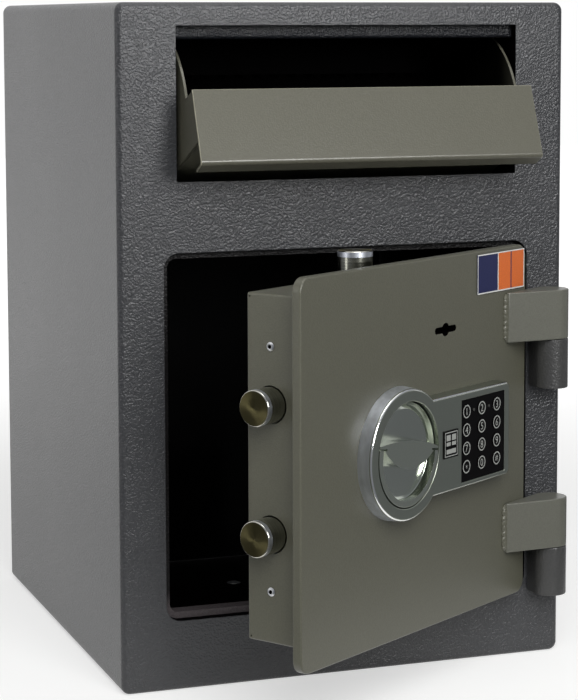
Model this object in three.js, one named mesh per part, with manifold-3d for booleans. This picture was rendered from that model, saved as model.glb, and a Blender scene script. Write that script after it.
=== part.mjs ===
// Deposit safe: a sheet-metal body with a tilting deposit hopper above a locked door.
// Millimetres, +Z up, the front faces -Y, the origin is the centre of the underside.

import * as THREE from "three";
import { mergeVertices } from "three/addons/utils/BufferGeometryUtils.js";
import Module from "manifold-3d";

const wasm = await Module();
wasm.setup();

// Clearances and cutting values
const seatGap = 0.3;              // between pieces that touch
const runningGap = 0.6;           // round a piece that slides or turns
const overrun = 2;                // how far a cut runs past the face it opens
const quarterTurn = Math.PI / 2;
const degree = Math.PI / 180;
const cornerSteps = 5;            // faces of a rounded corner
const roundSteps = 30;            // faces of a round pin or bolt
const fineSteps = 56;             // faces of the lock's rings
const keySteps = 18;              // faces of a key

// Body
const bodyWidth = 342;
const bodyHeight = 490;
const bodyDepth = 362;
const wallThickness = 2.5;
const frontThickness = 3;
const bodyCornerRadius = 6.5;     // bends that run from front to back
const frontFoldRadius = 4;        // bend round the front face
const rearPlateThickness = 2.5;
const anchorHoleDiameter = 12;
const floorAnchorSpacing = 180;   // front to back
const rearAnchorSpacing = 200;    // side to side
const rearAnchorHeight = 225;

// Openings in the front face
const doorMarginLeft = 33.25;      // of the front face beside the door opening
const doorMarginRight = 28.45;
const doorOpeningHeight = 263.9;
const doorOpeningBottom = 50.5;
const doorOpeningRadius = 11;
const hopperOpeningInset = 10.05; // of its sides from those of the door opening
const hopperOpeningHeight = 109;
const hopperOpeningBottom = 364.6;
const collarDepth = 8;            // folded edge of both openings, from the front face
const collarThickness = 2;

// Stop frame behind the door opening
const stopInset = 4.6;            // how far the stop reaches into the opening
const stopLap = 6;                // how far it reaches outside the opening
const stopThickness = 3;
const stopReturnDepth = 11.7;     // from the stop's front to the end of its return
const stopReturnThickness = 2;

// Door
const doorGap = 1.4;              // round the door in its opening
const doorThickness = 7;
const doorEdgeRadius = 0.8;
const doorOpenAngle = 33.4;       // degrees, as photographed
const hingePinInset = 13.8;       // of the pins from the body's right side
const hingePinStandoff = 12.8;    // in front of the body's face
const hingeBarrelRadius = 12.5;
const hingeLeafHeight = 36.7;
const upperHingeDrop = 70.7;      // of the upper arm's seat on its knuckle below the door's top
const lowerHingeRise = 34;        // of the lower arm's seat above the door's bottom
const hingePinDiameter = 10;
const hingePinEngagement = 30;    // of the pin in each leaf
const hingeArmSlope = 29;         // degrees between the arm's outer face and the door
const hingeArmEdge = 2.7;         // thickness of the arm where it meets the door
const knuckleTail = 8.5;          // of the knuckle's foot on the body, right of the pin
const knuckleWrap = 40;           // degrees that the barrel runs round behind the pin

// Box behind the door plate
const boxInset = 13.7;            // of the box from the door plate's edge
const boxDepth = 47.2;
const boxWall = 2;
const boxBend = 3;
const boxReliefDiameter = 2.4;
const boxReliefInset = 1.7;

// Bolts and what drives them
const lockInset = 29.9;           // of the lock's axis left of the door's middle
const lockRise = 0.15;            // of the lock's axis above it
const boltDiameter = 24.4;
const boltLength = 47;
const boltThrow = 18.4;           // of a thrown bolt past the box
const uprightExtraThrow = 2.6;    // the upper and lower bolts reach this much further out
const boltRunClearance = 0.65;    // round a bolt in its hole
const boltChamfer = 1.2;
const boltDepth = 27.6;           // of the bolts' axes behind the door plate
const sideBoltSpacing = 86.8;
const rivetSpacing = 164;
const rivetHeadDiameter = 7.8;
const rivetHeadHeight = 1.1;
const rivetBoreDiameter = 3;
const rivetShankDiameter = 4.8;
const guideThickness = 2;
const guideWidth = 36;
const guideEnd = 8;               // of the guide past its rivets

const spindleDiameter = 10;
const camRadius = 23;
const camThickness = 4;
const camSetback = 7;             // of the cam behind the door plate
const camPinRadius = 16;
const camPinDiameter = 6;
const camSwing = 80;              // degrees that the knob turns
const camSlotClearance = 0.75;    // each side of a cam pin
const linkThickness = 2;
const linkGap = 0.7;              // between link plates that pass each other
const linkWidth = 12;
const slotRim = 4.5;              // metal round a slot
const linkFoot = 22;              // depth of a link's foot under its bolt
const carriageBarWidth = 24;
const carriageArmRise = 15.2;     // of the arm's lower edge above the lock's axis
const blockNotchDepth = 6;
const blockNotchWidth = 8;

// Solenoid that blocks the carriage
const solenoidOffset = -30;       // from the lock's axis
const solenoidWidth = 22;
const solenoidHeight = 30;
const solenoidDepth = 20;
const solenoidGap = 1.2;          // of the solenoid above the carriage's bar
const plungerDiameter = 6;
const plungerStroke = 6;
const plungerRest = 2.4;          // of the withdrawn plunger above the carriage
const plungerEngagement = 16;

// Lock housing: a ring and a keypad box in one casting
const housingHeight = 11;         // of its face above the door plate
const ringRadius = 46.2;
const ringTaper = 0.8;
const ringFillet = 2;
const bowlRadius = 36.7;
const keypadReach = 130;          // of the keypad box from the lock's axis
const keypadHeight = 69;
const keypadCorner = 4;
const keypadEdge = 0.8;
const housingWall = 2.5;
const panelWidth = 56.6;
const panelHeight = 58.3;
const panelStart = 65.6;          // of the panel from the lock's axis
const panelThickness = 2;
const panelSink = 0.4;
const panelDrop = 0.9;            // of the panel's centre below the lock's axis

// Knob
const knobGroove = 0.9;           // between the knob and its ring
const knobLift = 0.6;             // of the knob off the door plate
const knobRimWidth = 4.1;
const knobFloorHeight = 3.4;      // of the pockets' floor above the door plate
const knobDishRadius = 27;
const knobDishDepth = 1.2;
const knobStep = 0.5;
const gripCentreWidth = 19;
const gripEndWidth = 10.4;
const gripSlit = 1.7;
const gripSlitLength = 8.5;
const gripSlitDepth = 4;
const gripTilt = 8;               // degrees, as photographed
const socketDepth = 6;

// Keys and lights
const keyDiameter = 10.2;
const keyRun = 0.35;              // round a key in its hole
const keyPitchAcross = 20;
const keyPitchDown = 13.15;
const keyFirstInset = 6;          // of the first key from the panel's left edge
const keyTopInset = 8.4;
const keyProud = 0.6;
const keyFlange = 0.7;
const keyFlangeThickness = 1;
const keyTravel = 0.8;
const lightDiameter = 2.2;
const lightProud = 0.3;
const boardThickness = 1.6;
const boardInset = 1.5;

// Key lock behind the emergency keyhole
const keyholeOffset = 61.2;       // from the lock's axis
const keyholeDrop = 52;           // below the door's top
const keyholeLength = 27.3;
const keyholeSlot = 4.6;
const keyholeBore = 9.4;
const keyCaseWidth = 52;
const keyCaseHeight = 34;
const keyCaseDepth = 14;
const keyCaseWall = 2;

// Labels
const doorLabelWidth = 63.6;
const doorLabelHeight = 28.6;
const doorLabelThickness = 0.5;
const doorLabelSide = 3.7;        // from the door plate's right edge
const doorLabelTop = 2.9;
const keypadLabelWidth = 18;
const keypadLabelHeight = 19.4;
const keypadLabelThickness = 0.4;
const keypadLabelStart = 41.9;    // from the lock's axis

// Batteries
const batteryWidth = 62;
const batteryHeight = 58;
const batteryDepth = 18;
const batteryWall = 1.6;
const batteryOffset = 82;         // of the holder's centre from the lock's axis
const batteryRise = 18;           // of the holder above the box's lower side
const batteryRim = 5;
const batteryCoverThickness = 1.6;

// Hopper
const pivotDepth = 56;            // behind the front face
const pivotRise = 30.4;           // above the opening's lower edge
const pivotDiameter = 10;
const pivotHeadDiameter = 16;
const pivotHeadThickness = 2.5;
const hopperTilt = 22.9;          // degrees, as photographed
const panelReach = 93.5;          // of the panel's face from the pivot
const hopperSideGap = 2;          // between the panel's ends and the opening
const hopperPanelHeight = 54.7;
const hopperSheet = 2;
const hopperLipLength = 13.2;     // of the lip folded back under the panel
const hopperLipDrop = 1.2;
const sectorRadius = 73;
const sectorInset = 1.2;          // of the side plates from the panel's ends
const trayDepth = 34.4;           // of the tray's floor below the panel's top
const trayRear = 30;              // of the floor's end behind the pivot
const panelTopDrop = 1.1;         // of the panel's top below the pivot

// Sheets round the hopper
const cheekThickness = 2;
const cheekGap = 5.4;             // between a side plate and its cheek
const cheekDrop = 26.6;           // of the side sheets below the opening
const cheekDepth = 130;
const guardDrop = 9.6;            // of the guard below the top of the opening
const guardThickness = 2;
const guardFold = 7;
const baffleThickness = 2;
const toothCount = 19;
const toothReach = 9;
const chuteDrop = 14;
const chuteLength = 32;

// Shares of the baffle's outline: depth from the stop frame to the cheeks' end, height of the cheeks
const baffleShares = [
  [0.613, 0.004],
  [0.613, 0.161],
  [0.92, 0.657],
  [0.92, 0.979],
];

// Values that follow from the ones above
const doorOpeningLeft = doorMarginLeft - bodyWidth / 2;
const doorOpeningRight = bodyWidth / 2 - doorMarginRight;
const openingOffset = (doorOpeningLeft + doorOpeningRight) / 2;
const doorOpeningTop = doorOpeningBottom + doorOpeningHeight;
const doorLeft = doorOpeningLeft + doorGap;
const doorRight = doorOpeningRight - doorGap;
const doorBottom = doorOpeningBottom + doorGap;
const doorTop = doorOpeningTop - doorGap;
const hopperOpeningLeft = doorOpeningLeft + hopperOpeningInset;
const hopperOpeningRight = doorOpeningRight - hopperOpeningInset;
const hopperPanelWidth = hopperOpeningRight - hopperOpeningLeft - 2 * hopperSideGap;
const hopperOpeningTop = hopperOpeningBottom + hopperOpeningHeight;
const pivotHeight = hopperOpeningBottom + pivotRise;
const cheekBottom = hopperOpeningBottom - cheekDrop;
const hingePinOffset = bodyWidth / 2 - hingePinInset;
const upperHingeJoint = doorTop - upperHingeDrop;
const lowerHingeJoint = doorBottom + lowerHingeRise;
const lockOffset = openingOffset - lockInset;
const lockHeight = (doorOpeningBottom + doorOpeningTop) / 2 + lockRise;
const keyholeHeight = doorTop - keyholeDrop;
const boxLeft = doorLeft + boxInset;
const boxRight = doorRight - boxInset;
const boxBottom = doorBottom + boxInset;
const boxTop = doorTop - boxInset;
const boxFront = doorThickness + seatGap;
const boxRear = boxFront + boxDepth;
const batteryPlace = boxBottom + batteryRise + batteryHeight / 2;
const boltAxisDepth = doorThickness + boltDepth;
const boltRadius = boltDiameter / 2;
const knobRadius = bowlRadius - knobGroove;
const camFront = doorThickness + camSetback;
const camRear = camFront + camThickness;
const camHalfTravel = camPinRadius * Math.sin((camSwing / 2) * degree);
const boltTravel = 2 * camHalfTravel;
const carriagePlane = camRear + linkGap;
const topLinkPlane = carriagePlane + linkThickness + linkGap;
const bottomLinkPlane = topLinkPlane + linkThickness + linkGap;
const interiorTop = bodyHeight - wallThickness;

// Solids and meshes

function toSolid(geometry) {
  const plain = geometry.index ? geometry.toNonIndexed() : geometry;
  plain.deleteAttribute("normal");
  plain.deleteAttribute("uv");
  const merged = mergeVertices(plain, 1e-4);
  const vertProperties = new Float32Array(merged.attributes.position.array);
  const triVerts = new Uint32Array(merged.index.array);
  return new wasm.Manifold(new wasm.Mesh({ numProp: 3, vertProperties, triVerts }));
}

function joined(...geometries) {
  const solids = geometries.map(toSolid);
  return toGeometry(solids.reduce((sum, solid) => sum.add(solid)));
}

function cut(geometry, ...tools) {
  const solids = tools.map(toSolid);
  return toGeometry(solids.reduce((rest, tool) => rest.subtract(tool), toSolid(geometry)));
}

function shared(geometry, other) {
  return toGeometry(toSolid(geometry).intersect(toSolid(other)));
}

function toGeometry(solid) {
  const mesh = solid.getMesh();
  const geometry = new THREE.BufferGeometry();
  geometry.setAttribute("position", new THREE.BufferAttribute(new Float32Array(mesh.vertProperties), 3));
  geometry.setIndex(new THREE.BufferAttribute(new Uint32Array(mesh.triVerts), 1));
  return geometry;
}

// A block between two corners
function block([left, right], [front, rear], [bottom, top]) {
  const geometry = new THREE.BoxGeometry(right - left, rear - front, top - bottom);
  geometry.translate((left + right) / 2, (front + rear) / 2, (bottom + top) / 2);
  return geometry;
}

// A round bar along one axis, between two places on it; centre holds the other two coordinates in order
function bar(axis, radius, [start, end], [first, second], steps = roundSteps) {
  const geometry = new THREE.CylinderGeometry(radius, radius, end - start, steps);
  const middle = (start + end) / 2;
  if (axis === "x") {
    geometry.rotateZ(-quarterTurn);
    geometry.translate(middle, first, second);
  } else if (axis === "y") {
    geometry.translate(first, middle, second);
  } else {
    geometry.rotateX(quarterTurn);
    geometry.translate(first, second, middle);
  }
  return geometry;
}

// A shape drawn in X and Z, standing between two depths
function frontPlate(shape, [front, rear], steps = cornerSteps) {
  const geometry = new THREE.ExtrudeGeometry(shape, {
    depth: rear - front,
    bevelEnabled: false,
    curveSegments: steps,
  });
  geometry.rotateX(quarterTurn);
  geometry.translate(0, rear, 0);
  return geometry;
}

// The same with rounded edges all round both faces; the shape is given at its full size
function roundedPlate(left, right, bottom, top, radius, edge, [front, rear], edgeSteps) {
  const shape = roundedRectangle(left + edge, right - edge, bottom + edge, top - edge, radius - edge);
  const geometry = new THREE.ExtrudeGeometry(shape, {
    depth: rear - front - 2 * edge,
    bevelEnabled: true,
    bevelThickness: edge,
    bevelSize: edge,
    bevelSegments: edgeSteps,
    curveSegments: cornerSteps,
  });
  geometry.rotateX(quarterTurn);
  geometry.translate(0, rear - edge, 0);
  return geometry;
}

// A shape drawn in Y and Z, running between two places across
function sidePlate(shape, [left, right], steps = cornerSteps) {
  const geometry = new THREE.ExtrudeGeometry(shape, {
    depth: right - left,
    bevelEnabled: false,
    curveSegments: steps,
  });
  const turn = new THREE.Matrix4().makeBasis(
    new THREE.Vector3(0, 1, 0),
    new THREE.Vector3(0, 0, 1),
    new THREE.Vector3(1, 0, 0),
  );
  geometry.applyMatrix4(turn);
  geometry.translate(left, 0, 0);
  return geometry;
}

// A shape drawn in X and Y, standing between two heights
function levelPlate(shape, [bottom, top], steps = cornerSteps) {
  const geometry = new THREE.ExtrudeGeometry(shape, {
    depth: top - bottom,
    bevelEnabled: false,
    curveSegments: steps,
  });
  geometry.translate(0, 0, bottom);
  return geometry;
}

// A profile of [radius, height] points turned about an axis that runs front to back, heights towards the front
function turned(profile, [across, depth, height], steps = roundSteps) {
  const points = profile.map(([radius, rise]) => new THREE.Vector2(radius, rise));
  const geometry = new THREE.LatheGeometry(points, steps);
  geometry.rotateX(2 * quarterTurn);
  geometry.translate(across, depth, height);
  return geometry;
}

function polygon(points) {
  return new THREE.Shape(points.map(([across, up]) => new THREE.Vector2(across, up)));
}

function roundedRectangle(left, right, bottom, top, radius) {
  const shape = new THREE.Shape();
  shape.moveTo(left + radius, bottom);
  shape.lineTo(right - radius, bottom);
  shape.absarc(right - radius, bottom + radius, radius, -quarterTurn, 0);
  shape.lineTo(right, top - radius);
  shape.absarc(right - radius, top - radius, radius, 0, quarterTurn);
  shape.lineTo(left + radius, top);
  shape.absarc(left + radius, top - radius, radius, quarterTurn, 2 * quarterTurn);
  shape.lineTo(left, bottom + radius);
  shape.absarc(left + radius, bottom + radius, radius, 2 * quarterTurn, 3 * quarterTurn);
  return shape;
}

// A slot with round ends, drawn about its own middle
function slot(across, up, length, width, upright) {
  const halfLong = length / 2;
  const halfWide = width / 2;
  if (upright) {
    return roundedRectangle(across - halfWide, across + halfWide, up - halfLong, up + halfLong, halfWide);
  }
  return roundedRectangle(across - halfLong, across + halfLong, up - halfWide, up + halfWide, halfWide);
}

// A sheet of even thickness that follows a bent line; offset to one side of the line
function sheetProfile(points, thickness) {
  const outer = [];
  for (let index = 0; index < points.length; index += 1) {
    const here = new THREE.Vector2(...points[index]);
    const before = index > 0 ? new THREE.Vector2(...points[index - 1]) : null;
    const after = index < points.length - 1 ? new THREE.Vector2(...points[index + 1]) : null;
    const into = before ? here.clone().sub(before).normalize() : after.clone().sub(here).normalize();
    const out = after ? after.clone().sub(here).normalize() : into.clone();
    const sum = into.clone().add(out).normalize();
    const normal = new THREE.Vector2(-sum.y, sum.x);
    const stretch = thickness / Math.max(normal.dot(new THREE.Vector2(-into.y, into.x)), 0.2);
    outer.push(here.clone().addScaledVector(normal, stretch));
  }
  return [...points, ...outer.reverse().map((point) => [point.x, point.y])];
}

const paints = {
  bodyPaint: { color: 0x5b5f66, roughness: 0.62, metalness: 0.1 },
  innerPaint: { color: 0x33343a, roughness: 0.7, metalness: 0.1 },
  doorPaint: { color: 0x77776b, roughness: 0.55, metalness: 0.15 },
  hopperPaint: { color: 0x85836f, roughness: 0.55, metalness: 0.15 },
  nickel: { color: 0xa9aaa2, roughness: 0.3, metalness: 0.9 },
  steel: { color: 0xb4b2a8, roughness: 0.25, metalness: 1 },
  zinc: { color: 0x9a9a94, roughness: 0.45, metalness: 0.9 },
  blackPlastic: { color: 0x151517, roughness: 0.45, metalness: 0 },
  keyPlastic: { color: 0x1b1b1e, roughness: 0.4, metalness: 0 },
  darkPlastic: { color: 0x2a2a2c, roughness: 0.6, metalness: 0 },
  lens: { color: 0x3a1512, roughness: 0.2, metalness: 0 },
  board: { color: 0x1e5a32, roughness: 0.5, metalness: 0 },
  labelBlue: { color: 0x1b2350, roughness: 0.35, metalness: 0 },
  labelDark: { color: 0x202022, roughness: 0.4, metalness: 0 },
};

function piece(name, geometry, paint) {
  const shaded = geometry.index ? geometry.toNonIndexed() : geometry;
  shaded.computeVertexNormals();
  const mesh = new THREE.Mesh(shaded, new THREE.MeshStandardMaterial(paints[paint]));
  mesh.name = name;
  return mesh;
}

// Body, in front-face coordinates: Y runs inward from the front face

function bodyShell() {
  const halfWidth = bodyWidth / 2;
  const outside = roundedPlate(
    -halfWidth, halfWidth, 0, bodyHeight, bodyCornerRadius, frontFoldRadius,
    [0, bodyDepth + 2 * frontFoldRadius], 4,
  );
  const behind = block(
    [-bodyWidth, bodyWidth],
    [bodyDepth, bodyDepth + 4 * frontFoldRadius],
    [-overrun, bodyHeight + overrun],
  );
  const innerCorner = bodyCornerRadius - wallThickness;
  const hollow = frontPlate(
    roundedRectangle(
      wallThickness - halfWidth, halfWidth - wallThickness,
      wallThickness, interiorTop, innerCorner,
    ),
    [frontThickness, bodyDepth + overrun],
  );
  const doorCollar = frontPlate(
    roundedRectangle(
      doorOpeningLeft - collarThickness, doorOpeningRight + collarThickness,
      doorOpeningBottom - collarThickness, doorOpeningTop + collarThickness,
      doorOpeningRadius + collarThickness,
    ),
    [frontThickness / 2, collarDepth],
  );
  const hopperCollar = block(
    [hopperOpeningLeft - collarThickness, hopperOpeningRight + collarThickness],
    [frontThickness / 2, collarDepth],
    [hopperOpeningBottom - collarThickness, hopperOpeningTop + collarThickness],
  );
  const doorOpening = frontPlate(
    roundedRectangle(
      doorOpeningLeft, doorOpeningRight, doorOpeningBottom, doorOpeningTop, doorOpeningRadius,
    ),
    [-overrun, collarDepth + overrun],
  );
  const hopperOpening = block(
    [hopperOpeningLeft, hopperOpeningRight],
    [-overrun, collarDepth + overrun],
    [hopperOpeningBottom, hopperOpeningTop],
  );
  const anchors = [-1, 1].map((side) => bar(
    "z", anchorHoleDiameter / 2, [-overrun, wallThickness + overrun],
    [0, bodyDepth / 2 + (side * floorAnchorSpacing) / 2], keySteps,
  ));
  const walls = cut(outside, behind, hollow);
  return cut(joined(walls, doorCollar, hopperCollar), doorOpening, hopperOpening, ...anchors);
}

function rearPlate() {
  const side = bodyWidth / 2 - wallThickness - seatGap;
  const panel = frontPlate(
    roundedRectangle(
      -side, side, wallThickness + seatGap, interiorTop - seatGap,
      bodyCornerRadius - wallThickness,
    ),
    [bodyDepth - rearPlateThickness, bodyDepth],
  );
  const anchors = [-1, 1].map((end) => bar(
    "y", anchorHoleDiameter / 2, [bodyDepth - rearPlateThickness - overrun, bodyDepth + overrun],
    [(end * rearAnchorSpacing) / 2, rearAnchorHeight], keySteps,
  ));
  return cut(panel, ...anchors);
}

function doorFrame() {
  const front = collarDepth + seatGap;
  const clear = {
    left: doorOpeningLeft + stopInset,
    right: doorOpeningRight - stopInset,
    bottom: doorOpeningBottom + stopInset,
    top: doorOpeningTop - stopInset,
    radius: doorOpeningRadius - stopInset,
  };
  const grown = (by) => roundedRectangle(
    clear.left - by, clear.right + by, clear.bottom - by, clear.top + by, clear.radius + by,
  );
  const stop = frontPlate(grown(stopInset + stopLap), [front, front + stopThickness]);
  const back = frontPlate(grown(stopReturnThickness), [front + stopThickness / 2, front + stopReturnDepth]);
  const clearHole = frontPlate(grown(0), [front - overrun, front + stopReturnDepth + overrun]);
  return cut(joined(stop, back), clearHole);
}

function hingeKnuckle(joint) {
  const section = new THREE.Shape();
  section.moveTo(hingePinOffset + knuckleTail, -seatGap);
  section.lineTo(hingePinOffset - hingeBarrelRadius, -seatGap);
  section.lineTo(hingePinOffset - hingeBarrelRadius, -hingePinStandoff);
  section.absarc(
    hingePinOffset, -hingePinStandoff, hingeBarrelRadius,
    2 * quarterTurn, 4 * quarterTurn + knuckleWrap * degree,
  );
  const leaf = levelPlate(section, [joint - seatGap / 2 - hingeLeafHeight, joint - seatGap / 2], 16);
  const bore = bar(
    "z", hingePinDiameter / 2 + seatGap, [joint - hingePinEngagement - seatGap, joint + overrun],
    [hingePinOffset, -hingePinStandoff],
  );
  return cut(leaf, bore);
}

function hingeArm(joint) {
  const slope = hingeArmSlope * degree;
  const reach = (hingeBarrelRadius / Math.cos(slope) + hingePinStandoff - hingeArmEdge) / Math.tan(slope);
  const heel = hingePinOffset - reach;
  const section = new THREE.Shape();
  section.moveTo(heel, -seatGap);
  section.lineTo(heel, -hingeArmEdge);
  section.absarc(
    hingePinOffset, -hingePinStandoff, hingeBarrelRadius,
    -quarterTurn - slope, quarterTurn,
  );
  const leaf = levelPlate(section, [joint + seatGap / 2, joint + seatGap / 2 + hingeLeafHeight], 20);
  const bore = bar(
    "z", hingePinDiameter / 2 + seatGap, [joint - overrun, joint + hingePinEngagement + seatGap],
    [hingePinOffset, -hingePinStandoff],
  );
  return cut(leaf, bore);
}

function hingePin(joint) {
  return bar(
    "z", hingePinDiameter / 2, [joint - hingePinEngagement, joint + hingePinEngagement],
    [hingePinOffset, -hingePinStandoff],
  );
}

// Sheets round the hopper

const hopperHalf = hopperPanelWidth / 2 - sectorInset;
const cheekFront = collarDepth + seatGap;
const cheekRear = cheekFront + cheekDepth;
const cheekTop = interiorTop - seatGap;
const cheekInner = hopperHalf + cheekGap;

function cheekSpan(side) {
  const inner = openingOffset + side * cheekInner;
  const outer = inner + side * cheekThickness;
  return side < 0 ? [outer, inner] : [inner, outer];
}

function hopperCheek(side) {
  const plate = block(cheekSpan(side), [cheekFront, cheekRear], [cheekBottom, cheekTop]);
  const inner = openingOffset + side * cheekInner;
  const outer = inner + side * cheekThickness;
  const hole = bar(
    "x", pivotDiameter / 2 + seatGap,
    [Math.min(inner, outer) - overrun, Math.max(inner, outer) + overrun],
    [pivotDepth, pivotHeight],
  );
  return cut(plate, hole);
}

function innerSpan() {
  return [openingOffset - cheekInner + seatGap, openingOffset + cheekInner - seatGap];
}

function topGuard() {
  const drop = hopperOpeningTop - guardDrop;
  const line = [
    [cheekFront + guardFold, drop],
    [cheekFront, drop],
    [cheekFront, cheekTop],
  ];
  return sidePlate(polygon(sheetProfile(line, -guardThickness)), innerSpan());
}

function bafflePoint([depthShare, heightShare]) {
  return [
    cheekFront + depthShare * cheekDepth,
    cheekBottom + heightShare * (cheekTop - cheekBottom),
  ];
}

function rearBaffle() {
  const line = baffleShares.map(bafflePoint);
  const sheet = sidePlate(polygon(sheetProfile(line, -baffleThickness)), innerSpan());
  const [left, right] = innerSpan();
  const root = line[2];
  const pitch = (right - left) / toothCount;
  const teeth = Array.from({ length: toothCount }, (_, index) => {
    const middle = left + (index + 0.5) * pitch;
    const outline = polygon([
      [middle - pitch / 3, root[0] + baffleThickness / 2],
      [middle, root[0] - toothReach],
      [middle + pitch / 3, root[0] + baffleThickness / 2],
    ]);
    return levelPlate(outline, [root[1] - baffleThickness, root[1]]);
  });
  return joined(sheet, ...teeth);
}

function chuteFloor() {
  const top = hopperOpeningBottom - collarThickness - seatGap;
  const front = cheekFront;
  const line = [
    [front, top - overrun],
    [front + chuteLength, top - chuteDrop - overrun],
  ];
  return sidePlate(polygon(sheetProfile(line, -cheekThickness)), innerSpan());
}

// Hopper, about its pivot: Y runs inward along the tray, Z up along the panel

function hopperPanel() {
  const bottom = -panelTopDrop - hopperPanelHeight;
  const line = [
    [-panelReach, -panelTopDrop],
    [-panelReach, bottom],
    [-panelReach + hopperLipLength, bottom - hopperLipDrop],
  ];
  const half = hopperPanelWidth / 2;
  return sidePlate(polygon(sheetProfile(line, hopperSheet)), [openingOffset - half, openingOffset + half]);
}

function hopperFloor() {
  const half = hopperHalf - hopperSheet - seatGap;
  const top = -panelTopDrop - trayDepth;
  return block(
    [openingOffset - half, openingOffset + half],
    [-panelReach + hopperSheet + seatGap, trayRear],
    [top - hopperSheet, top],
  );
}

function hopperSide(side) {
  const start = -panelReach + hopperSheet + seatGap;
  const bottom = -panelTopDrop - trayDepth - hopperSheet;
  const section = new THREE.Shape();
  section.moveTo(start, bottom);
  section.lineTo(trayRear, bottom);
  section.lineTo(0, sectorRadius);
  section.absarc(0, 0, sectorRadius, quarterTurn, Math.PI);
  section.lineTo(start, -panelTopDrop);
  const outer = openingOffset + side * hopperHalf;
  const inner = outer - side * hopperSheet;
  const plate = sidePlate(section, [Math.min(inner, outer), Math.max(inner, outer)], 16);
  const hole = bar(
    "x", pivotDiameter / 2 + seatGap,
    [Math.min(inner, outer) - overrun, Math.max(inner, outer) + overrun],
    [0, 0],
  );
  return cut(plate, hole);
}

function hopperPivot(side) {
  const face = openingOffset + side * (hopperHalf - hopperSheet - seatGap);
  const end = openingOffset + side * (cheekInner + cheekThickness);
  const headEnd = face - side * pivotHeadThickness;
  const pin = bar("x", pivotDiameter / 2, [Math.min(headEnd, end), Math.max(headEnd, end)], [0, 0]);
  const head = bar("x", pivotHeadDiameter / 2, [Math.min(headEnd, face), Math.max(headEnd, face)], [0, 0]);
  return joined(pin, head);
}

// Door, in the coordinates of the closed door

function keyholeTools(front, rear) {
  const across = lockOffset + keyholeOffset;
  const up = keyholeHeight;
  return [
    frontPlate(slot(across, up, keyholeLength, keyholeSlot, false), [front, rear]),
    bar("y", keyholeBore / 2, [front, rear], [across, up], keySteps),
  ];
}

function doorPlate() {
  const plate = roundedPlate(
    doorLeft, doorRight, doorBottom, doorTop,
    doorOpeningRadius - doorGap, doorEdgeRadius, [0, doorThickness], 2,
  );
  const through = [-overrun, doorThickness + overrun];
  const spindleHole = bar("y", spindleDiameter / 2 + runningGap, through, [lockOffset, lockHeight]);
  return cut(plate, spindleHole, ...keyholeTools(...through));
}

function boltHoleTools() {
  const radius = boltRadius + boltRunClearance;
  const side = [-1, 1].map((end) => bar(
    "x", radius, [boxLeft - overrun, boxLeft + boxWall + overrun],
    [boltAxisDepth, lockHeight + (end * sideBoltSpacing) / 2],
  ));
  const top = bar("z", radius, [boxTop - boxWall - overrun, boxTop + overrun], [lockOffset, boltAxisDepth]);
  const bottom = bar("z", radius, [boxBottom - overrun, boxBottom + boxWall + overrun], [lockOffset, boltAxisDepth]);
  return [...side, top, bottom];
}

function rivetHoleTools(left, right) {
  return [-1, 1].map((end) => bar(
    "x", rivetShankDiameter / 2 + seatGap, [left - overrun, right + overrun],
    [boltAxisDepth, lockHeight + (end * rivetSpacing) / 2], keySteps,
  ));
}

function boltBox() {
  const outside = roundedPlate(
    boxLeft, boxRight, boxBottom, boxTop, boxBend, boxBend - seatGap,
    [boxFront - 2 * boxBend, boxRear], 3,
  );
  const ahead = block(
    [boxLeft - overrun, boxRight + overrun],
    [boxFront - 3 * boxBend, boxFront],
    [boxBottom - overrun, boxTop + overrun],
  );
  const hollow = block(
    [boxLeft + boxWall, boxRight - boxWall],
    [boxFront - overrun, boxRear - boxWall],
    [boxBottom + boxWall, boxTop - boxWall],
  );
  const reliefs = [boxBottom + boxReliefInset, boxTop - boxReliefInset].map((up) => bar(
    "x", boxReliefDiameter / 2, [boxLeft - overrun, boxLeft + boxWall + overrun],
    [boxRear - boxReliefInset, up], 12,
  ));
  const battery = batteryWindow(batteryRim);
  return cut(
    outside, ahead, hollow, battery,
    ...boltHoleTools(), ...rivetHoleTools(boxLeft, boxLeft + boxWall), ...reliefs,
  );
}

function batteryWindow(rim) {
  const across = lockOffset + batteryOffset;
  const up = batteryPlace;
  return block(
    [across - batteryWidth / 2 + rim, across + batteryWidth / 2 - rim],
    [boxRear - boxWall - overrun, boxRear + overrun],
    [up - batteryHeight / 2 + rim, up + batteryHeight / 2 - rim],
  );
}

function boltGuide() {
  const left = boxLeft + boxWall + seatGap;
  const right = left + guideThickness;
  const half = rivetSpacing / 2 + guideEnd;
  const plate = block(
    [left, right],
    [boltAxisDepth - guideWidth / 2, boltAxisDepth + guideWidth / 2 - seatGap],
    [lockHeight - half, lockHeight + half],
  );
  const holes = [-1, 1].map((end) => bar(
    "x", boltRadius + boltRunClearance, [left - overrun, right + overrun],
    [boltAxisDepth, lockHeight + (end * sideBoltSpacing) / 2],
  ));
  return cut(plate, ...holes, ...rivetHoleTools(left, right));
}

function rivet(end) {
  const outer = boxLeft - seatGap;
  const inner = boxLeft + boxWall + seatGap + guideThickness + seatGap;
  const place = [boltAxisDepth, lockHeight + (end * rivetSpacing) / 2];
  const head = bar("x", rivetHeadDiameter / 2, [outer - rivetHeadHeight, outer], place, keySteps);
  const shank = bar("x", rivetShankDiameter / 2, [outer - rivetHeadHeight, inner + overrun], place, keySteps);
  const bore = bar("x", rivetBoreDiameter / 2, [outer - 2 * rivetHeadHeight, outer + rivetHeadHeight], place, 12);
  return cut(joined(head, shank), bore);
}

// Bolts: a round bar with chamfered outer end

function boltProfile(length) {
  return [
    [0, 0],
    [boltRadius, 0],
    [boltRadius, length - boltChamfer],
    [boltRadius - boltChamfer, length],
    [0, length],
  ];
}

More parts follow.
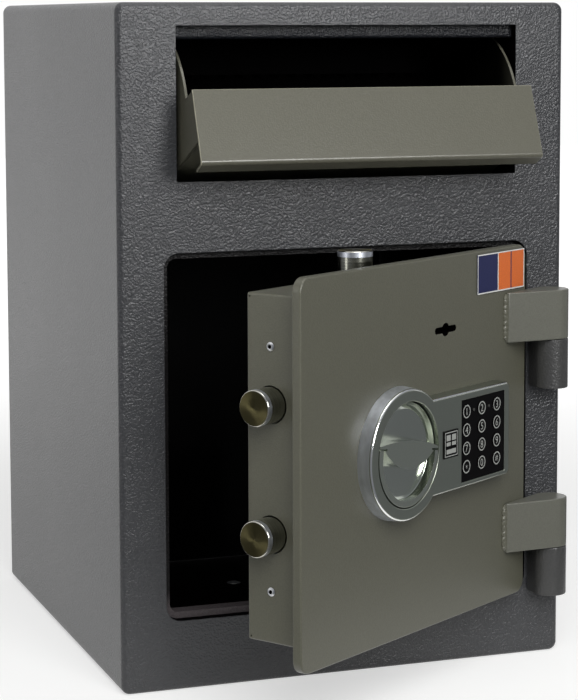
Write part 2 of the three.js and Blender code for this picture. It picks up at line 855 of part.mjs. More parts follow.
function boltBody(length) {
  const points = boltProfile(length).map(([radius, rise]) => new THREE.Vector2(radius, rise));
  return new THREE.LatheGeometry(points, roundSteps);
}

function sideBolt(end) {
  const geometry = boltBody(boltLength);
  geometry.rotateZ(quarterTurn);
  geometry.translate(boxLeft - boltThrow + boltLength, boltAxisDepth, lockHeight + (end * sideBoltSpacing) / 2);
  return geometry;
}

function uprightBolt(end) {
  const geometry = boltBody(boltLength);
  const reach = (boxTop - boxBottom) / 2 + boltThrow + uprightExtraThrow;
  const middle = (boxTop + boxBottom) / 2;
  if (end > 0) {
    geometry.rotateX(quarterTurn);
    geometry.translate(lockOffset, boltAxisDepth, middle + reach - boltLength);
  } else {
    geometry.rotateX(-quarterTurn);
    geometry.translate(lockOffset, boltAxisDepth, middle - reach + boltLength);
  }
  return geometry;
}

// Cam: its three pins stand at the top, the right and the left of the disc at mid swing

function camPinPlace(direction, swing) {
  const turn = swing * degree;
  return {
    top: [camPinRadius * Math.sin(turn), camPinRadius * Math.cos(turn)],
    right: [camPinRadius * Math.cos(turn), -camPinRadius * Math.sin(turn)],
    left: [-camPinRadius * Math.cos(turn), camPinRadius * Math.sin(turn)],
  }[direction];
}

function camDisc() {
  const ends = {
    top: carriagePlane + linkThickness,
    right: topLinkPlane + linkThickness,
    left: bottomLinkPlane + linkThickness,
  };
  const disc = bar("y", camRadius, [camFront, camRear], [lockOffset, lockHeight]);
  const pins = Object.entries(ends).map(([direction, end]) => {
    const [across, up] = camPinPlace(direction, -camSwing / 2);
    return bar("y", camPinDiameter / 2, [camRear - overrun, end], [lockOffset + across, lockHeight + up], 16);
  });
  const bore = bar(
    "y", spindleDiameter / 2 + seatGap, [camFront - overrun, camRear + overrun],
    [lockOffset, lockHeight],
  );
  return cut(joined(disc, ...pins), bore);
}

function knobSpindle() {
  return bar(
    "y", spindleDiameter / 2, [-knobLift - socketDepth, camRear],
    [lockOffset, lockHeight],
  );
}

const slotWidth = camPinDiameter + 2 * camSlotClearance;
const slotNear = camPinRadius * Math.cos((camSwing / 2) * degree) - slotWidth / 2;
const slotFar = camPinRadius + slotWidth / 2;
const slotLength = slotFar - slotNear;
const slotMiddle = (slotFar + slotNear) / 2;

function boltCarriage() {
  const slotAcross = lockOffset - camHalfTravel;
  const barLeft = boxLeft - boltThrow + boltLength + seatGap;
  const barHalf = sideBoltSpacing / 2 + boltRadius;
  const upright = block(
    [barLeft, barLeft + linkThickness],
    [carriagePlane, carriagePlane + carriageBarWidth],
    [lockHeight - barHalf, lockHeight + barHalf],
  );
  const armTop = slotFar + 2 * slotRim;
  const lobe = slotWidth / 2 + slotRim;
  const arm = frontPlate(polygon([
    [barLeft, lockHeight + carriageArmRise],
    [slotAcross - lobe, lockHeight + carriageArmRise],
    [slotAcross - lobe, lockHeight + slotNear - slotRim / 2],
    [slotAcross + lobe, lockHeight + slotNear - slotRim / 2],
    [slotAcross + lobe, lockHeight + armTop],
    [barLeft, lockHeight + armTop],
  ]), [carriagePlane, carriagePlane + linkThickness]);
  const pinSlot = frontPlate(
    slot(slotAcross, lockHeight + slotMiddle, slotLength, slotWidth, true),
    [carriagePlane - overrun, carriagePlane + linkThickness + overrun],
  );
  const notchAcross = lockOffset + solenoidOffset;
  const notch = block(
    [notchAcross - blockNotchWidth / 2, notchAcross + blockNotchWidth / 2],
    [carriagePlane - overrun, carriagePlane + linkThickness + overrun],
    [lockHeight + armTop - blockNotchDepth, lockHeight + armTop + overrun],
  );
  return cut(joined(upright, arm), pinSlot, notch);
}

function link(end) {
  const plane = end > 0 ? topLinkPlane : bottomLinkPlane;
  const slotUp = lockHeight + end * camHalfTravel;
  const slotAcross = lockOffset + end * slotMiddle;
  const reach = (boxTop - boxBottom) / 2 + boltThrow + uprightExtraThrow;
  const foot = (boxTop + boxBottom) / 2 + end * (reach - boltLength - seatGap);
  const lobe = slotWidth / 2 + slotRim;
  const halfSlot = slotLength / 2 + slotRim / 2;
  const eye = block(
    [slotAcross - halfSlot, slotAcross + halfSlot],
    [plane, plane + linkThickness],
    [slotUp - lobe, slotUp + lobe],
  );
  const strap = block(
    [slotAcross - linkWidth / 2, slotAcross + linkWidth / 2],
    [plane, plane + linkThickness],
    [Math.min(slotUp + end * lobe / 2, foot), Math.max(slotUp + end * lobe / 2, foot)],
  );
  const footPlate = block(
    [Math.min(slotAcross - end * linkWidth / 2, slotAcross + end * linkWidth / 2, lockOffset - linkWidth / 2),
      Math.max(slotAcross - end * linkWidth / 2, slotAcross + end * linkWidth / 2, lockOffset + linkWidth / 2)],
    [plane, plane + linkFoot],
    [Math.min(foot, foot - end * linkThickness), Math.max(foot, foot - end * linkThickness)],
  );
  const pinSlot = frontPlate(
    slot(slotAcross, slotUp, slotLength, slotWidth, false),
    [plane - overrun, plane + linkThickness + overrun],
  );
  return cut(joined(eye, strap, footPlate), pinSlot);
}

// Solenoid above the carriage's arm

const carriageArmTop = lockHeight + slotFar + 2 * slotRim;
const plungerDepth = carriagePlane + linkThickness / 2;
const plungerTip = carriageArmTop + plungerRest;
const solenoidBottom = lockHeight + sideBoltSpacing / 2 + boltRadius + solenoidGap;

function solenoidBody() {
  const across = lockOffset + solenoidOffset;
  const body = block(
    [across - solenoidWidth / 2, across + solenoidWidth / 2],
    [boxFront, plungerDepth + solenoidDepth / 2],
    [solenoidBottom, solenoidBottom + solenoidHeight],
  );
  const bore = bar(
    "z", plungerDiameter / 2 + seatGap,
    [solenoidBottom - overrun, solenoidBottom + plungerEngagement + plungerStroke],
    [across, plungerDepth], 16,
  );
  return cut(body, bore);
}

function solenoidPlunger() {
  return bar(
    "z", plungerDiameter / 2, [plungerTip, solenoidBottom + plungerEngagement],
    [lockOffset + solenoidOffset, plungerDepth], 16,
  );
}

// Lock housing: heights are measured from the door plate towards the front

function lockHousing() {
  const ring = turned([
    [0, 0],
    [ringRadius, 0],
    [ringRadius - ringTaper, housingHeight - ringFillet - seatGap],
    [ringRadius - ringTaper - 0.3 * ringFillet, housingHeight - 0.3 * ringFillet - seatGap],
    [ringRadius - ringTaper - ringFillet, housingHeight - seatGap],
    [0, housingHeight - seatGap],
  ], [lockOffset, -seatGap, lockHeight], fineSteps);
  const boxRightEdge = lockOffset + keypadReach;
  const casing = roundedPlate(
    lockOffset, boxRightEdge, lockHeight - keypadHeight / 2, lockHeight + keypadHeight / 2,
    keypadCorner, keypadEdge, [-housingHeight, housingHeight], 2,
  );
  const behind = block(
    [lockOffset - overrun, boxRightEdge + overrun],
    [-seatGap, 2 * housingHeight],
    [lockHeight - keypadHeight, lockHeight + keypadHeight],
  );
  const bowl = bar("y", bowlRadius, [-housingHeight - overrun, overrun], [lockOffset, lockHeight], fineSteps);
  const hollow = block(
    [lockOffset + ringRadius - overrun, boxRightEdge - housingWall],
    [-housingHeight + housingWall, overrun],
    [lockHeight - keypadHeight / 2 + housingWall, lockHeight + keypadHeight / 2 - housingWall],
  );
  const window = block(
    [lockOffset + panelStart - seatGap, lockOffset + panelStart + panelWidth + seatGap],
    [-housingHeight - overrun, overrun],
    [panelMiddle - panelHeight / 2 - seatGap, panelMiddle + panelHeight / 2 + seatGap],
  );
  return cut(joined(ring, cut(casing, behind)), bowl, hollow, window);
}

const panelMiddle = lockHeight - panelDrop;
const panelFront = -housingHeight + panelSink;

function keyPlace(column, row) {
  return [
    lockOffset + panelStart + keyFirstInset + column * keyPitchAcross,
    panelMiddle + panelHeight / 2 - keyTopInset - row * keyPitchDown,
  ];
}

const keyNames = [
  ["key_1", "key_2", "key_3"],
  ["key_4", "key_5", "key_6"],
  ["key_7", "key_8", "key_9"],
  ["key_clear", "key_0", "key_enter"],
];

function keypadPanel() {
  const left = lockOffset + panelStart;
  const panel = block(
    [left, left + panelWidth],
    [panelFront, panelFront + panelThickness],
    [panelMiddle - panelHeight / 2, panelMiddle + panelHeight / 2],
  );
  const through = [panelFront - overrun, panelFront + panelThickness + overrun];
  const holes = keyNames.flatMap((names, row) => names.map((_, column) => bar(
    "y", keyDiameter / 2 + keyRun, through, keyPlace(column, row), keySteps,
  )));
  const lightHoles = [0.5, 1.5].map((column) => bar(
    "y", lightDiameter / 2 + seatGap, through, keyPlace(column, 0), 12,
  ));
  return cut(panel, ...holes, ...lightHoles);
}

function key(column, row) {
  const [across, up] = keyPlace(column, row);
  const radius = keyDiameter / 2;
  const top = keyProud + panelThickness + seatGap + keyFlangeThickness;
  return turned([
    [0, 0],
    [radius + keyFlange, 0],
    [radius + keyFlange, keyFlangeThickness],
    [radius, keyFlangeThickness],
    [radius, top],
    [0, top],
  ], [across, panelFront + panelThickness + seatGap + keyFlangeThickness, up], keySteps);
}

function statusLight(column) {
  const [across, up] = keyPlace(column, 0);
  return bar(
    "y", lightDiameter / 2, [panelFront - lightProud, panelFront + panelThickness],
    [across, up], 12,
  );
}

function circuitBoard() {
  const left = lockOffset + panelStart;
  const front = panelFront + panelThickness + seatGap + keyFlangeThickness + keyTravel + seatGap;
  return block(
    [left - boardInset, left + panelWidth + boardInset],
    [front, front + boardThickness],
    [panelMiddle - panelHeight / 2 - boardInset, panelMiddle + panelHeight / 2 + boardInset],
  );
}

// Knob: a round body whose two pockets leave a lens-shaped grip between them

function gripOutline(lower) {
  const centre = gripCentreWidth / 2;
  const end = gripEndWidth / 2;
  const side = knobRadius + overrun;
  const bulge = (side * side + (centre - end) ** 2) / (2 * (centre - end));
  const spread = Math.asin(side / bulge);
  const sign = lower ? -1 : 1;
  const outline = new THREE.Shape();
  const far = sign * 2 * knobRadius;
  outline.moveTo(-side, far);
  outline.lineTo(-side, sign * end);
  if (lower) {
    outline.absarc(0, bulge - centre, bulge, 3 * quarterTurn - spread, 3 * quarterTurn + spread, false);
  } else {
    outline.absarc(0, centre - bulge, bulge, quarterTurn + spread, quarterTurn - spread, true);
  }
  outline.lineTo(side, far);
  return outline;
}

function pocketTool(radius) {
  const floor = knobFloorHeight;
  const open = housingHeight + overrun;
  const rings = 4;
  const dish = Array.from({ length: rings + 1 }, (_, index) => {
    const share = index / rings;
    return [share * knobDishRadius, floor - knobStep - knobDishDepth * (1 - share * share)];
  });
  return turned([
    ...dish,
    [knobDishRadius, floor],
    [radius, floor],
    [radius, open],
    [0, open],
  ], [0, 0, 0], fineSteps);
}

function knob() {
  const bevel = knobStep;
  const body = turned([
    [0, knobLift],
    [knobRadius, knobLift],
    [knobRadius, housingHeight - bevel],
    [knobRadius - bevel, housingHeight],
    [0, housingHeight],
  ], [0, 0, 0], fineSteps);
  const deep = [-housingHeight - 2 * overrun, overrun];
  const upper = shared(pocketTool(knobRadius + overrun), frontPlate(gripOutline(false), deep, 16));
  const lower = shared(pocketTool(knobRadius - knobRimWidth), frontPlate(gripOutline(true), deep, 16));
  const slits = [-1, 1].map((side) => block(
    [Math.min(side * (knobRadius + overrun), side * (knobRadius - gripSlitLength)),
      Math.max(side * (knobRadius + overrun), side * (knobRadius - gripSlitLength))],
    [-housingHeight - overrun, -housingHeight + gripSlitDepth],
    [gripSlit, 2 * gripSlit],
  ));
  const socket = bar(
    "y", spindleDiameter / 2 + seatGap, [-knobLift - socketDepth - seatGap, overrun],
    [0, 0],
  );
  const shape = cut(body, upper, lower, ...slits, socket);
  shape.rotateY(gripTilt * degree);
  shape.translate(lockOffset, 0, lockHeight);
  return shape;
}

// Labels, lock case and batteries

function doorLabel() {
  const right = doorRight - doorLabelSide;
  const top = doorTop - doorLabelTop;
  return block(
    [right - doorLabelWidth, right],
    [-seatGap - doorLabelThickness, -seatGap],
    [top - doorLabelHeight, top],
  );
}

function keypadLabel() {
  const left = lockOffset + keypadLabelStart;
  const front = -housingHeight - seatGap - keypadLabelThickness;
  return block(
    [left, left + keypadLabelWidth],
    [front, front + keypadLabelThickness],
    [lockHeight - keypadLabelHeight / 2, lockHeight + keypadLabelHeight / 2],
  );
}

function keyLockCase() {
  const across = lockOffset + keyholeOffset;
  const up = keyholeHeight;
  const body = block(
    [across - keyCaseWidth / 2, across + keyCaseWidth / 2],
    [boxFront, boxFront + keyCaseDepth],
    [up - keyCaseHeight / 2, up + keyCaseHeight / 2],
  );
  return cut(body, ...keyholeTools(boxFront - overrun, boxFront + keyCaseDepth - keyCaseWall));
}

function batteryHolder() {
  const across = lockOffset + batteryOffset;
  const up = batteryPlace;
  const rear = boxRear - boxWall - seatGap;
  const body = block(
    [across - batteryWidth / 2, across + batteryWidth / 2],
    [rear - batteryDepth, rear],
    [up - batteryHeight / 2, up + batteryHeight / 2],
  );
  const hollow = block(
    [across - batteryWidth / 2 + batteryWall, across + batteryWidth / 2 - batteryWall],
    [rear - batteryDepth + batteryWall, rear + overrun],
    [up - batteryHeight / 2 + batteryWall, up + batteryHeight / 2 - batteryWall],
  );
  return cut(body, hollow);
}

function batteryCover() {
  const across = lockOffset + batteryOffset;
  const up = batteryPlace;
  const front = boxRear + seatGap;
  return block(
    [across - batteryWidth / 2, across + batteryWidth / 2],
    [front, front + batteryCoverThickness],
    [up - batteryHeight / 2, up + batteryHeight / 2],
  );
}

// Assembly

function hopperAssembly() {
  const group = new THREE.Group();
  group.position.set(0, pivotDepth, pivotHeight);
  group.rotation.x = -hopperTilt * degree;
  group.add(
    piece("hopper_panel", hopperPanel(), "hopperPaint"),
    piece("hopper_floor", hopperFloor(), "hopperPaint"),
    piece("hopper_side_left", hopperSide(-1), "hopperPaint"),
    piece("hopper_side_right", hopperSide(1), "hopperPaint"),
    piece("hopper_pivot_left", hopperPivot(-1), "zinc"),
    piece("hopper_pivot_right", hopperPivot(1), "zinc"),
  );
  return group;
}

function keypadKeys() {
  return keyNames.flatMap((names, row) => names.map(
    (name, column) => piece(name, key(column, row), "keyPlastic"),
  ));
}

function doorAssembly() {
  const closed = new THREE.Group();
  closed.position.set(-hingePinOffset, hingePinStandoff, 0);
  closed.add(
    piece("door_plate", doorPlate(), "doorPaint"),
    piece("hinge_arm_upper", hingeArm(upperHingeJoint), "doorPaint"),
    piece("hinge_arm_lower", hingeArm(lowerHingeJoint), "doorPaint"),
    piece("bolt_box", boltBox(), "doorPaint"),
    piece("bolt_guide", boltGuide(), "zinc"),
    piece("rivet_upper", rivet(1), "zinc"),
    piece("rivet_lower", rivet(-1), "zinc"),
    piece("lock_housing", lockHousing(), "nickel"),
    piece("keypad_panel", keypadPanel(), "blackPlastic"),
    piece("status_light_left", statusLight(0.5), "lens"),
    piece("status_light_right", statusLight(1.5), "lens"),
    piece("circuit_board", circuitBoard(), "board"),
    piece("door_label", doorLabel(), "labelBlue"),
    piece("keypad_label", keypadLabel(), "labelDark"),
    piece("key_lock_case", keyLockCase(), "zinc"),
    piece("solenoid_body", solenoidBody(), "darkPlastic"),
    piece("solenoid_plunger", solenoidPlunger(), "steel"),
    piece("battery_holder", batteryHolder(), "darkPlastic"),
    piece("battery_cover", batteryCover(), "darkPlastic"),
    piece("knob", knob(), "nickel"),
    piece("knob_spindle", knobSpindle(), "zinc"),
    piece("cam_disc", camDisc(), "zinc"),
    piece("bolt_carriage", boltCarriage(), "zinc"),
    piece("side_bolt_upper", sideBolt(1), "steel"),
    piece("side_bolt_lower", sideBolt(-1), "steel"),
    piece("top_bolt", uprightBolt(1), "steel"),
    piece("top_link", link(1), "zinc"),
    piece("bottom_bolt", uprightBolt(-1), "steel"),
    piece("bottom_link", link(-1), "zinc"),
    ...keypadKeys(),
  );
  const group = new THREE.Group();
  group.position.set(hingePinOffset, -hingePinStandoff, 0);
  group.rotation.z = doorOpenAngle * degree;
  group.add(closed);
  return group;
}

function bodyAssembly() {
  const group = new THREE.Group();
  group.add(
    piece("body_shell", bodyShell(), "bodyPaint"),
    piece("rear_plate", rearPlate(), "bodyPaint"),
    piece("door_frame", doorFrame(), "bodyPaint"),
    piece("hinge_knuckle_upper", hingeKnuckle(upperHingeJoint), "bodyPaint"),
    piece("hinge_knuckle_lower", hingeKnuckle(lowerHingeJoint), "bodyPaint"),
    piece("hinge_pin_upper", hingePin(upperHingeJoint), "steel"),
    piece("hinge_pin_lower", hingePin(lowerHingeJoint), "steel"),
    piece("hopper_cheek_left", hopperCheek(-1), "innerPaint"),
    piece("hopper_cheek_right", hopperCheek(1), "innerPaint"),
    piece("top_guard", topGuard(), "bodyPaint"),
    piece("rear_baffle", rearBaffle(), "innerPaint"),
    piece("chute_floor", chuteFloor(), "innerPaint"),
  );
  return group;
}

const safe = new THREE.Group();
const fromFrontFace = new THREE.Group();
fromFrontFace.position.y = -bodyDepth / 2;
fromFrontFace.add(bodyAssembly(), hopperAssembly(), doorAssembly());
safe.add(fromFrontFace);

export default safe;
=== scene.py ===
from math import asin, cos, degrees, hypot, pi, radians, sin, tan
from types import SimpleNamespace as Sizes

import bmesh
import bpy
from mathutils import Matrix, Vector


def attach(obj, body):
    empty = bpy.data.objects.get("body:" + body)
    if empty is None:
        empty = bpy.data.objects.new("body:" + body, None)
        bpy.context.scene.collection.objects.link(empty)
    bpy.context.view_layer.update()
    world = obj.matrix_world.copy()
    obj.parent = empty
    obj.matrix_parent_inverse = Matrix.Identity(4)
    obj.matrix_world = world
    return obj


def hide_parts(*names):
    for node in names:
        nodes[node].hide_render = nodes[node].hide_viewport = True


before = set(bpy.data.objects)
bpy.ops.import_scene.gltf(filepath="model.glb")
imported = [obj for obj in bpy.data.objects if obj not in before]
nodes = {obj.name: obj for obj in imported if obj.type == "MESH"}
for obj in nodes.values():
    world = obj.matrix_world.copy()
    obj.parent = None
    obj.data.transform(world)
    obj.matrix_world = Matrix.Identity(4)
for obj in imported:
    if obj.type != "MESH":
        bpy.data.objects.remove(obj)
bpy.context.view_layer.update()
print("frame loaded:", len(nodes), "nodes")

# The safe stands with its front at y = -0.181. Pieces are drawn in millimetres, in the place they belong to.
mm = 0.001
placeValues = {
    "bodyDepth": 362, "hingePin": (157.2, -12.8), "doorOpen": 33.4,
    "hopperPivot": (56, 395), "hopperTilt": 22.9, "lockAxis": (-27.5, 182.6),
}


def shift(x, y, z):
    return Matrix.Translation((x * mm, y * mm, z * mm))


def turn(angle, axis):
    return Matrix.Rotation(radians(angle), 4, axis)


hingePin, lockAxis = placeValues["hingePin"], placeValues["lockAxis"]
pinPlace = shift(*hingePin, 0)
frontSpace = shift(0, -placeValues["bodyDepth"] / 2, 0)
doorSpace = frontSpace @ pinPlace @ turn(placeValues["doorOpen"], "Z") @ pinPlace.inverted()
hopperSpace = frontSpace @ shift(0, *placeValues["hopperPivot"]) @ turn(-placeValues["hopperTilt"], "X")
spaces = {"body": frontSpace, "door": doorSpace, "hopper": hopperSpace}
# The lock's space: x across, y up and z out of the door, from the knob's axis on the door plate
lockSpace = doorSpace @ shift(lockAxis[0], 0, lockAxis[1]) @ turn(90, "X")


# Node helpers

def feed(tree, value, socket):
    # Links an output to the socket, or gives the socket a plain value
    if isinstance(value, bpy.types.NodeSocket):
        tree.links.new(value, socket)
    else:
        socket.default_value = value


def adjust(tree, node, **values):
    # Gives the setting or input of that name a value or a link
    for name, value in values.items():
        if hasattr(node, name):
            setattr(node, name, value)
        else:
            feed(tree, value, node.inputs[name.replace("_", " ")])


def addNode(tree, kind, *terms, **values):
    # Terms go to the inputs in their order
    node = tree.nodes.new(kind if kind.startswith("NodeGroup") else "ShaderNode" + kind)
    node.location = (200 * len(tree.nodes), 0)
    for socket, term in zip(node.inputs, terms):
        feed(tree, term, socket)
    adjust(tree, node, **values)
    return node


def calculate(tree, operation, *terms):
    return addNode(tree, "Math", *terms, operation=operation).outputs[0]


def scaleColour(tree, colour, share):
    return addNode(tree, "VectorMath", colour, operation="SCALE", Scale=share).outputs[0]


def addNoise(tree, where, scale, detail, roughness):
    noise = addNode(tree, "TexNoise", Vector=where, Scale=scale, Detail=detail, Roughness=roughness)
    return noise.outputs["Fac"]


def addRamp(tree, source, reach, values=(0, 1), kind="SMOOTHSTEP"):
    return addNode(tree, "MapRange", source, *reach, *values, interpolation_type=kind).outputs["Result"]


def coordinate(tree, source="Object"):
    return addNode(tree, "TexCoord").outputs[source]


def along(tree, axis, source="Object"):
    return addNode(tree, "SeparateXYZ", coordinate(tree, source)).outputs[axis]


def startGroup(name, inputs):
    # A texture group with its inputs' first values and the three outputs that every finish uses
    group = bpy.data.node_groups.new(name, "ShaderNodeTree")
    for label, value in inputs.items():
        kind = {3: "Vector", 4: "Color"}[len(value)] if isinstance(value, tuple) else "Float"
        socket = group.interface.new_socket(label, in_out="INPUT", socket_type="NodeSocket" + kind)
        socket.default_value = value
    for label, kind in (("Height", "Float"), ("Color", "Color"), ("Gloss Mask", "Float")):
        group.interface.new_socket(label, in_out="OUTPUT", socket_type="NodeSocket" + kind)
    return group, addNode(group, "NodeGroupInput").outputs


def spread(tree, noise, share):
    # Turns a noise into a factor about 1
    return calculate(tree, "MULTIPLY_ADD", calculate(tree, "SUBTRACT", noise, 0.5), share, 1)


coatValues = {
    "grainRounding": (0.36, 0.64), "grainTexture": (1.5, 0.45), "fineRatio": 2.7, "fineTexture": (2, 0.6),
    "driftTexture": (9, 3, 0.55), "speckle": (0.9, 1.1),
}
markTexture = (3, 0.6)


def buildCoatTexture(s):
    # Sprayed and baked coating: rounded grains of two sizes, slow drifts of tone, and painted shade in the
    # grains' hollows with a painted highlight on their tops
    group, given = startGroup("coatTexture", {
        "Grain Size": 2.2, "Fine Share": 0.35, "Drift": 0.06, "Color": (0.1, 0.1, 0.1, 1),
    })
    where = coordinate(group)
    scale = calculate(group, "DIVIDE", 1 / mm, given["Grain Size"])
    grains = addRamp(group, addNoise(group, where, scale, *s.grainTexture), s.grainRounding)
    fine = addNoise(group, where, calculate(group, "MULTIPLY", scale, s.fineRatio), *s.fineTexture)
    height = addNode(group, "Mix", Factor=given["Fine Share"], A=grains, B=fine).outputs[0]
    drift = spread(group, addNoise(group, where, *s.driftTexture), given["Drift"])
    # Painted shade and highlight: the colour is darker in the grain's hollows and lighter on its tops
    tone = calculate(group, "MULTIPLY", addRamp(group, height, (0, 1), s.speckle, "LINEAR"), drift)
    addNode(group, "NodeGroupOutput", height, scaleColour(group, given["Color"], tone), drift)
    return group


def buildToolMarks():
    # Fine marks that run round an axis or along it, in the piece's own space
    group, given = startGroup("toolMarks", {
        "Stretch": (1.0, 1.0, 1.0), "Scale": 900.0, "Contrast": 0.5, "Color": (0.5, 0.5, 0.5, 1),
    })
    terms = coordinate(group), given["Stretch"]
    stretched = addNode(group, "VectorMath", *terms, operation="MULTIPLY").outputs[0]
    marks = addNoise(group, stretched, given["Scale"], *markTexture)
    tone = spread(group, marks, given["Contrast"])
    addNode(group, "NodeGroupOutput", marks, scaleColour(group, given["Color"], tone), tone)
    return group


# Colour, grain size, share of the fine grain, drift of tone, depth of the grain, roughness, specular level
coats = {
    "bodyCoat": ((0.034, 0.035, 0.038), 1.5, 0.28, 0.12, 0.29, 0.34, 0.6),
    # Body coat made darker for the top guard, as painted shade
    "guardShadeCoat": ((0.008, 0.009, 0.012), 1.5, 0.25, 0.12, 0.42, 0.3, 0.3),
    # Body coat made lighter for the hinge knuckles, as painted light
    "knuckleLitCoat": ((0.05, 0.05, 0.049), 1.5, 0.28, 0.12, 0.12, 0.34, 0.6),
    # Body coat of the rear plate; its inside face is darkened as painted shade
    "rearShadeCoat": ((0.034, 0.035, 0.038), 1.5, 0.28, 0.12, 0.3, 0.4, 0.2),
    # Body coat of the door frame, brightened as painted light for its lit bottom flange and darkened above it
    # as painted shade
    "frameLightShadeCoat": ((0.085, 0.074, 0.077), 1.8, 0.3, 0.12, 0.3, 0.4, 0.2),
    # Near-black coat for inner faces: partly the dark inside paint, partly painted shade inside the safe, on
    # the keyhole walls and in the rivet bores
    "innerCoat": ((0.0012, 0.0008, 0.001), 2.6, 0.25, 0.12, 0.2, 0.6, 0.02),
    "doorPaint": ((0.107, 0.106, 0.078), 1.1, 0.5, 0.08, 0.05, 0.34, 0.5),
    # Door paint made lighter for the hinge arms, as painted light
    "armLitPaint": ((0.13, 0.131, 0.108), 1.1, 0.5, 0.08, 0.05, 0.34, 0.5),
    "hopperPaint": ((0.113, 0.11, 0.083), 1.1, 0.5, 0.06, 0.05, 0.28, 0.5),
    # Hopper paint made lighter for the panel's rounded edges, as a painted highlight
    "edgeHighlightPaint": ((0.25, 0.24, 0.18), 1.1, 0.5, 0.06, 0.05, 0.28, 0.5),
    # Olive paint of the sector plates' inner faces, darkened towards the rear as painted shade
    "trayShadePaint": ((0.107, 0.105, 0.079), 1.1, 0.5, 0.06, 0.04, 0.5, 0.1),
    "blackPanel": ((0.002, 0.0016, 0.0018), 0.7, 0.5, 0.06, 0.006, 0.35, 0.06),
    "keyPlastic": ((0.002, 0.0016, 0.0018), 0.7, 0.5, 0.06, 0.006, 0.3, 0.06),
    "darkMoulding": ((0.02, 0.02, 0.021), 0.7, 0.5, 0.06, 0.006, 0.5, 0.5),
    "keyPrint": ((0.34, 0.35, 0.33), 0.7, 0.5, 0.06, 0.006, 0.5, 0.5),
    "lensPlastic": ((0.05, 0.05, 0.045), 0.7, 0.5, 0.06, 0.006, 0.2, 0.5),
    "boardResin": ((0.015, 0.09, 0.035), 0.7, 0.5, 0.06, 0.006, 0.5, 0.5),
    "labelBlue": ((0.008, 0.012, 0.075), 0.7, 0.5, 0.03, 0.006, 0.35, 0.5),
    "labelOrange": ((0.72, 0.15, 0.02), 0.7, 0.5, 0.03, 0.006, 0.35, 0.5),
    "labelWhite": ((0.72, 0.72, 0.7), 0.7, 0.5, 0.03, 0.006, 0.35, 0.5),
}
# Painted shade: the colour darkens along a coordinate where the frame above its foot, the rear plate's inside
# and the tray's rear lie in shade. Material, coordinate and axis along which the colour fades, reach of the
# fade, shares of the colour
paintedShadeFades = (
    ("frameLightShadeCoat", "Generated", "Z", (0.04, 0.1), (1, 0.08)),
    ("rearShadeCoat", "Normal", "Y", (-0.6, 0.2), (0.02, 1)),
    ("trayShadePaint", "Generated", "Y", (0, 0.5), (1, 0.02)),
)
# Colour, stretch of the marks, their scale and contrast, their depth, roughness
metals = {
    "satinNickel": ((0.37, 0.395, 0.335), (1, 1, 1), 1400, 0.15, 0.004, 0.3),
    # Satin nickel made lighter for the knob, as painted light
    "gripLitNickel": ((0.47, 0.5, 0.43), (1, 1, 1), 1400, 0.15, 0.004, 0.3),
    # Near-white nickel for the rounded edges of the ring and the knob, as a painted highlight
    "highlightNickel": ((0.86, 0.87, 0.86), (1, 1, 1), 500, 0.08, 0.002, 0.14),
    # Nickel made lighter and bluer for the ring's side and the bolts' polished band, as a painted reflection
    "sideNickel": ((0.74, 0.77, 0.83), (1, 1, 0.1), 300, 0.5, 0.003, 0.4),
    "polishedNickel": ((0.5, 0.53, 0.47), (1, 1, 1), 500, 0.06, 0.002, 0.15),
    "turnedSteel": ((0.09, 0.079, 0.036), (1, 1, 0.02), 900, 0.35, 0.004, 0.32),
    "groundSteel": ((0.34, 0.34, 0.29), (0.01, 0.01, 1), 330, 2.4, 0.004, 0.2),
    "rimSteel": ((0.5, 0.49, 0.44), (1, 1, 1), 500, 0.1, 0.002, 0.15),
    "rivetMetal": ((0.75, 0.76, 0.77), (1, 1, 1), 500, 0.1, 0.002, 0.42),
    "zincPlate": ((0.45, 0.45, 0.42), (1, 1, 1), 120, 0.3, 0.01, 0.45),
}
turnedShine = 0.9
finishes = {}


def startMaterial(name):
    material = bpy.data.materials.new(name)
    material.use_nodes = True
    return material, material.node_tree, material.node_tree.nodes["Principled BSDF"]


def addFinish(name, group, depth, roughness, **values):
    # Colour, relief and gloss come from a texture group; its values are given by name
    finishes[name], tree, shader = startMaterial(name)
    texture = addNode(tree, "Group", node_tree=group, **values).outputs
    raised = addNode(tree, "Bump", Strength=1, Distance=depth * mm, Height=texture["Height"])
    rough = calculate(tree, "MULTIPLY", texture["Gloss Mask"], roughness)
    adjust(tree, shader, Base_Color=texture["Color"], Normal=raised.outputs["Normal"], Roughness=rough)
    return tree, shader


def buildFinishes():
    coatTexture = buildCoatTexture(Sizes(**coatValues))
    toolMarks = buildToolMarks()
    for name, (colour, grain, fine, drift, depth, roughness, specular) in coats.items():
        values = {"Grain_Size": grain, "Fine_Share": fine, "Drift": drift, "Color": (*colour, 1)}
        adjust(*addFinish(name, coatTexture, depth, roughness, **values), Specular_IOR_Level=specular)
    # Painted shade: each listed colour darkens along its coordinate
    for name, source, axis, reach, shares in paintedShadeFades:
        tree = finishes[name].node_tree
        colour = tree.nodes["Principled BSDF"].inputs["Base Color"]
        share = addRamp(tree, along(tree, axis, source), reach, shares)
        feed(tree, scaleColour(tree, colour.links[0].from_socket, share), colour)
    for name, (colour, stretch, scale, contrast, depth, roughness) in metals.items():
        values = {"Stretch": stretch, "Scale": scale, "Contrast": contrast, "Color": (*colour, 1)}
        tree, shader = addFinish(name, toolMarks, depth, roughness, **values)
        adjust(tree, shader, Metallic=1)
        if name == "turnedSteel":
            tangent = addNode(tree, "Tangent", direction_type="RADIAL", axis="Z").outputs[0]
            adjust(tree, shader, Anisotropic=turnedShine, Tangent=tangent)


buildFinishes()
print("materials made")


# Mesh helpers: profiles and loops are in millimetres

sharpest = 0.001
cornerSteps = 8
leastMitre = 0.3
flatWeight = 60


def assign(item, **values):
    for name, value in values.items():
        setattr(item, name, value)


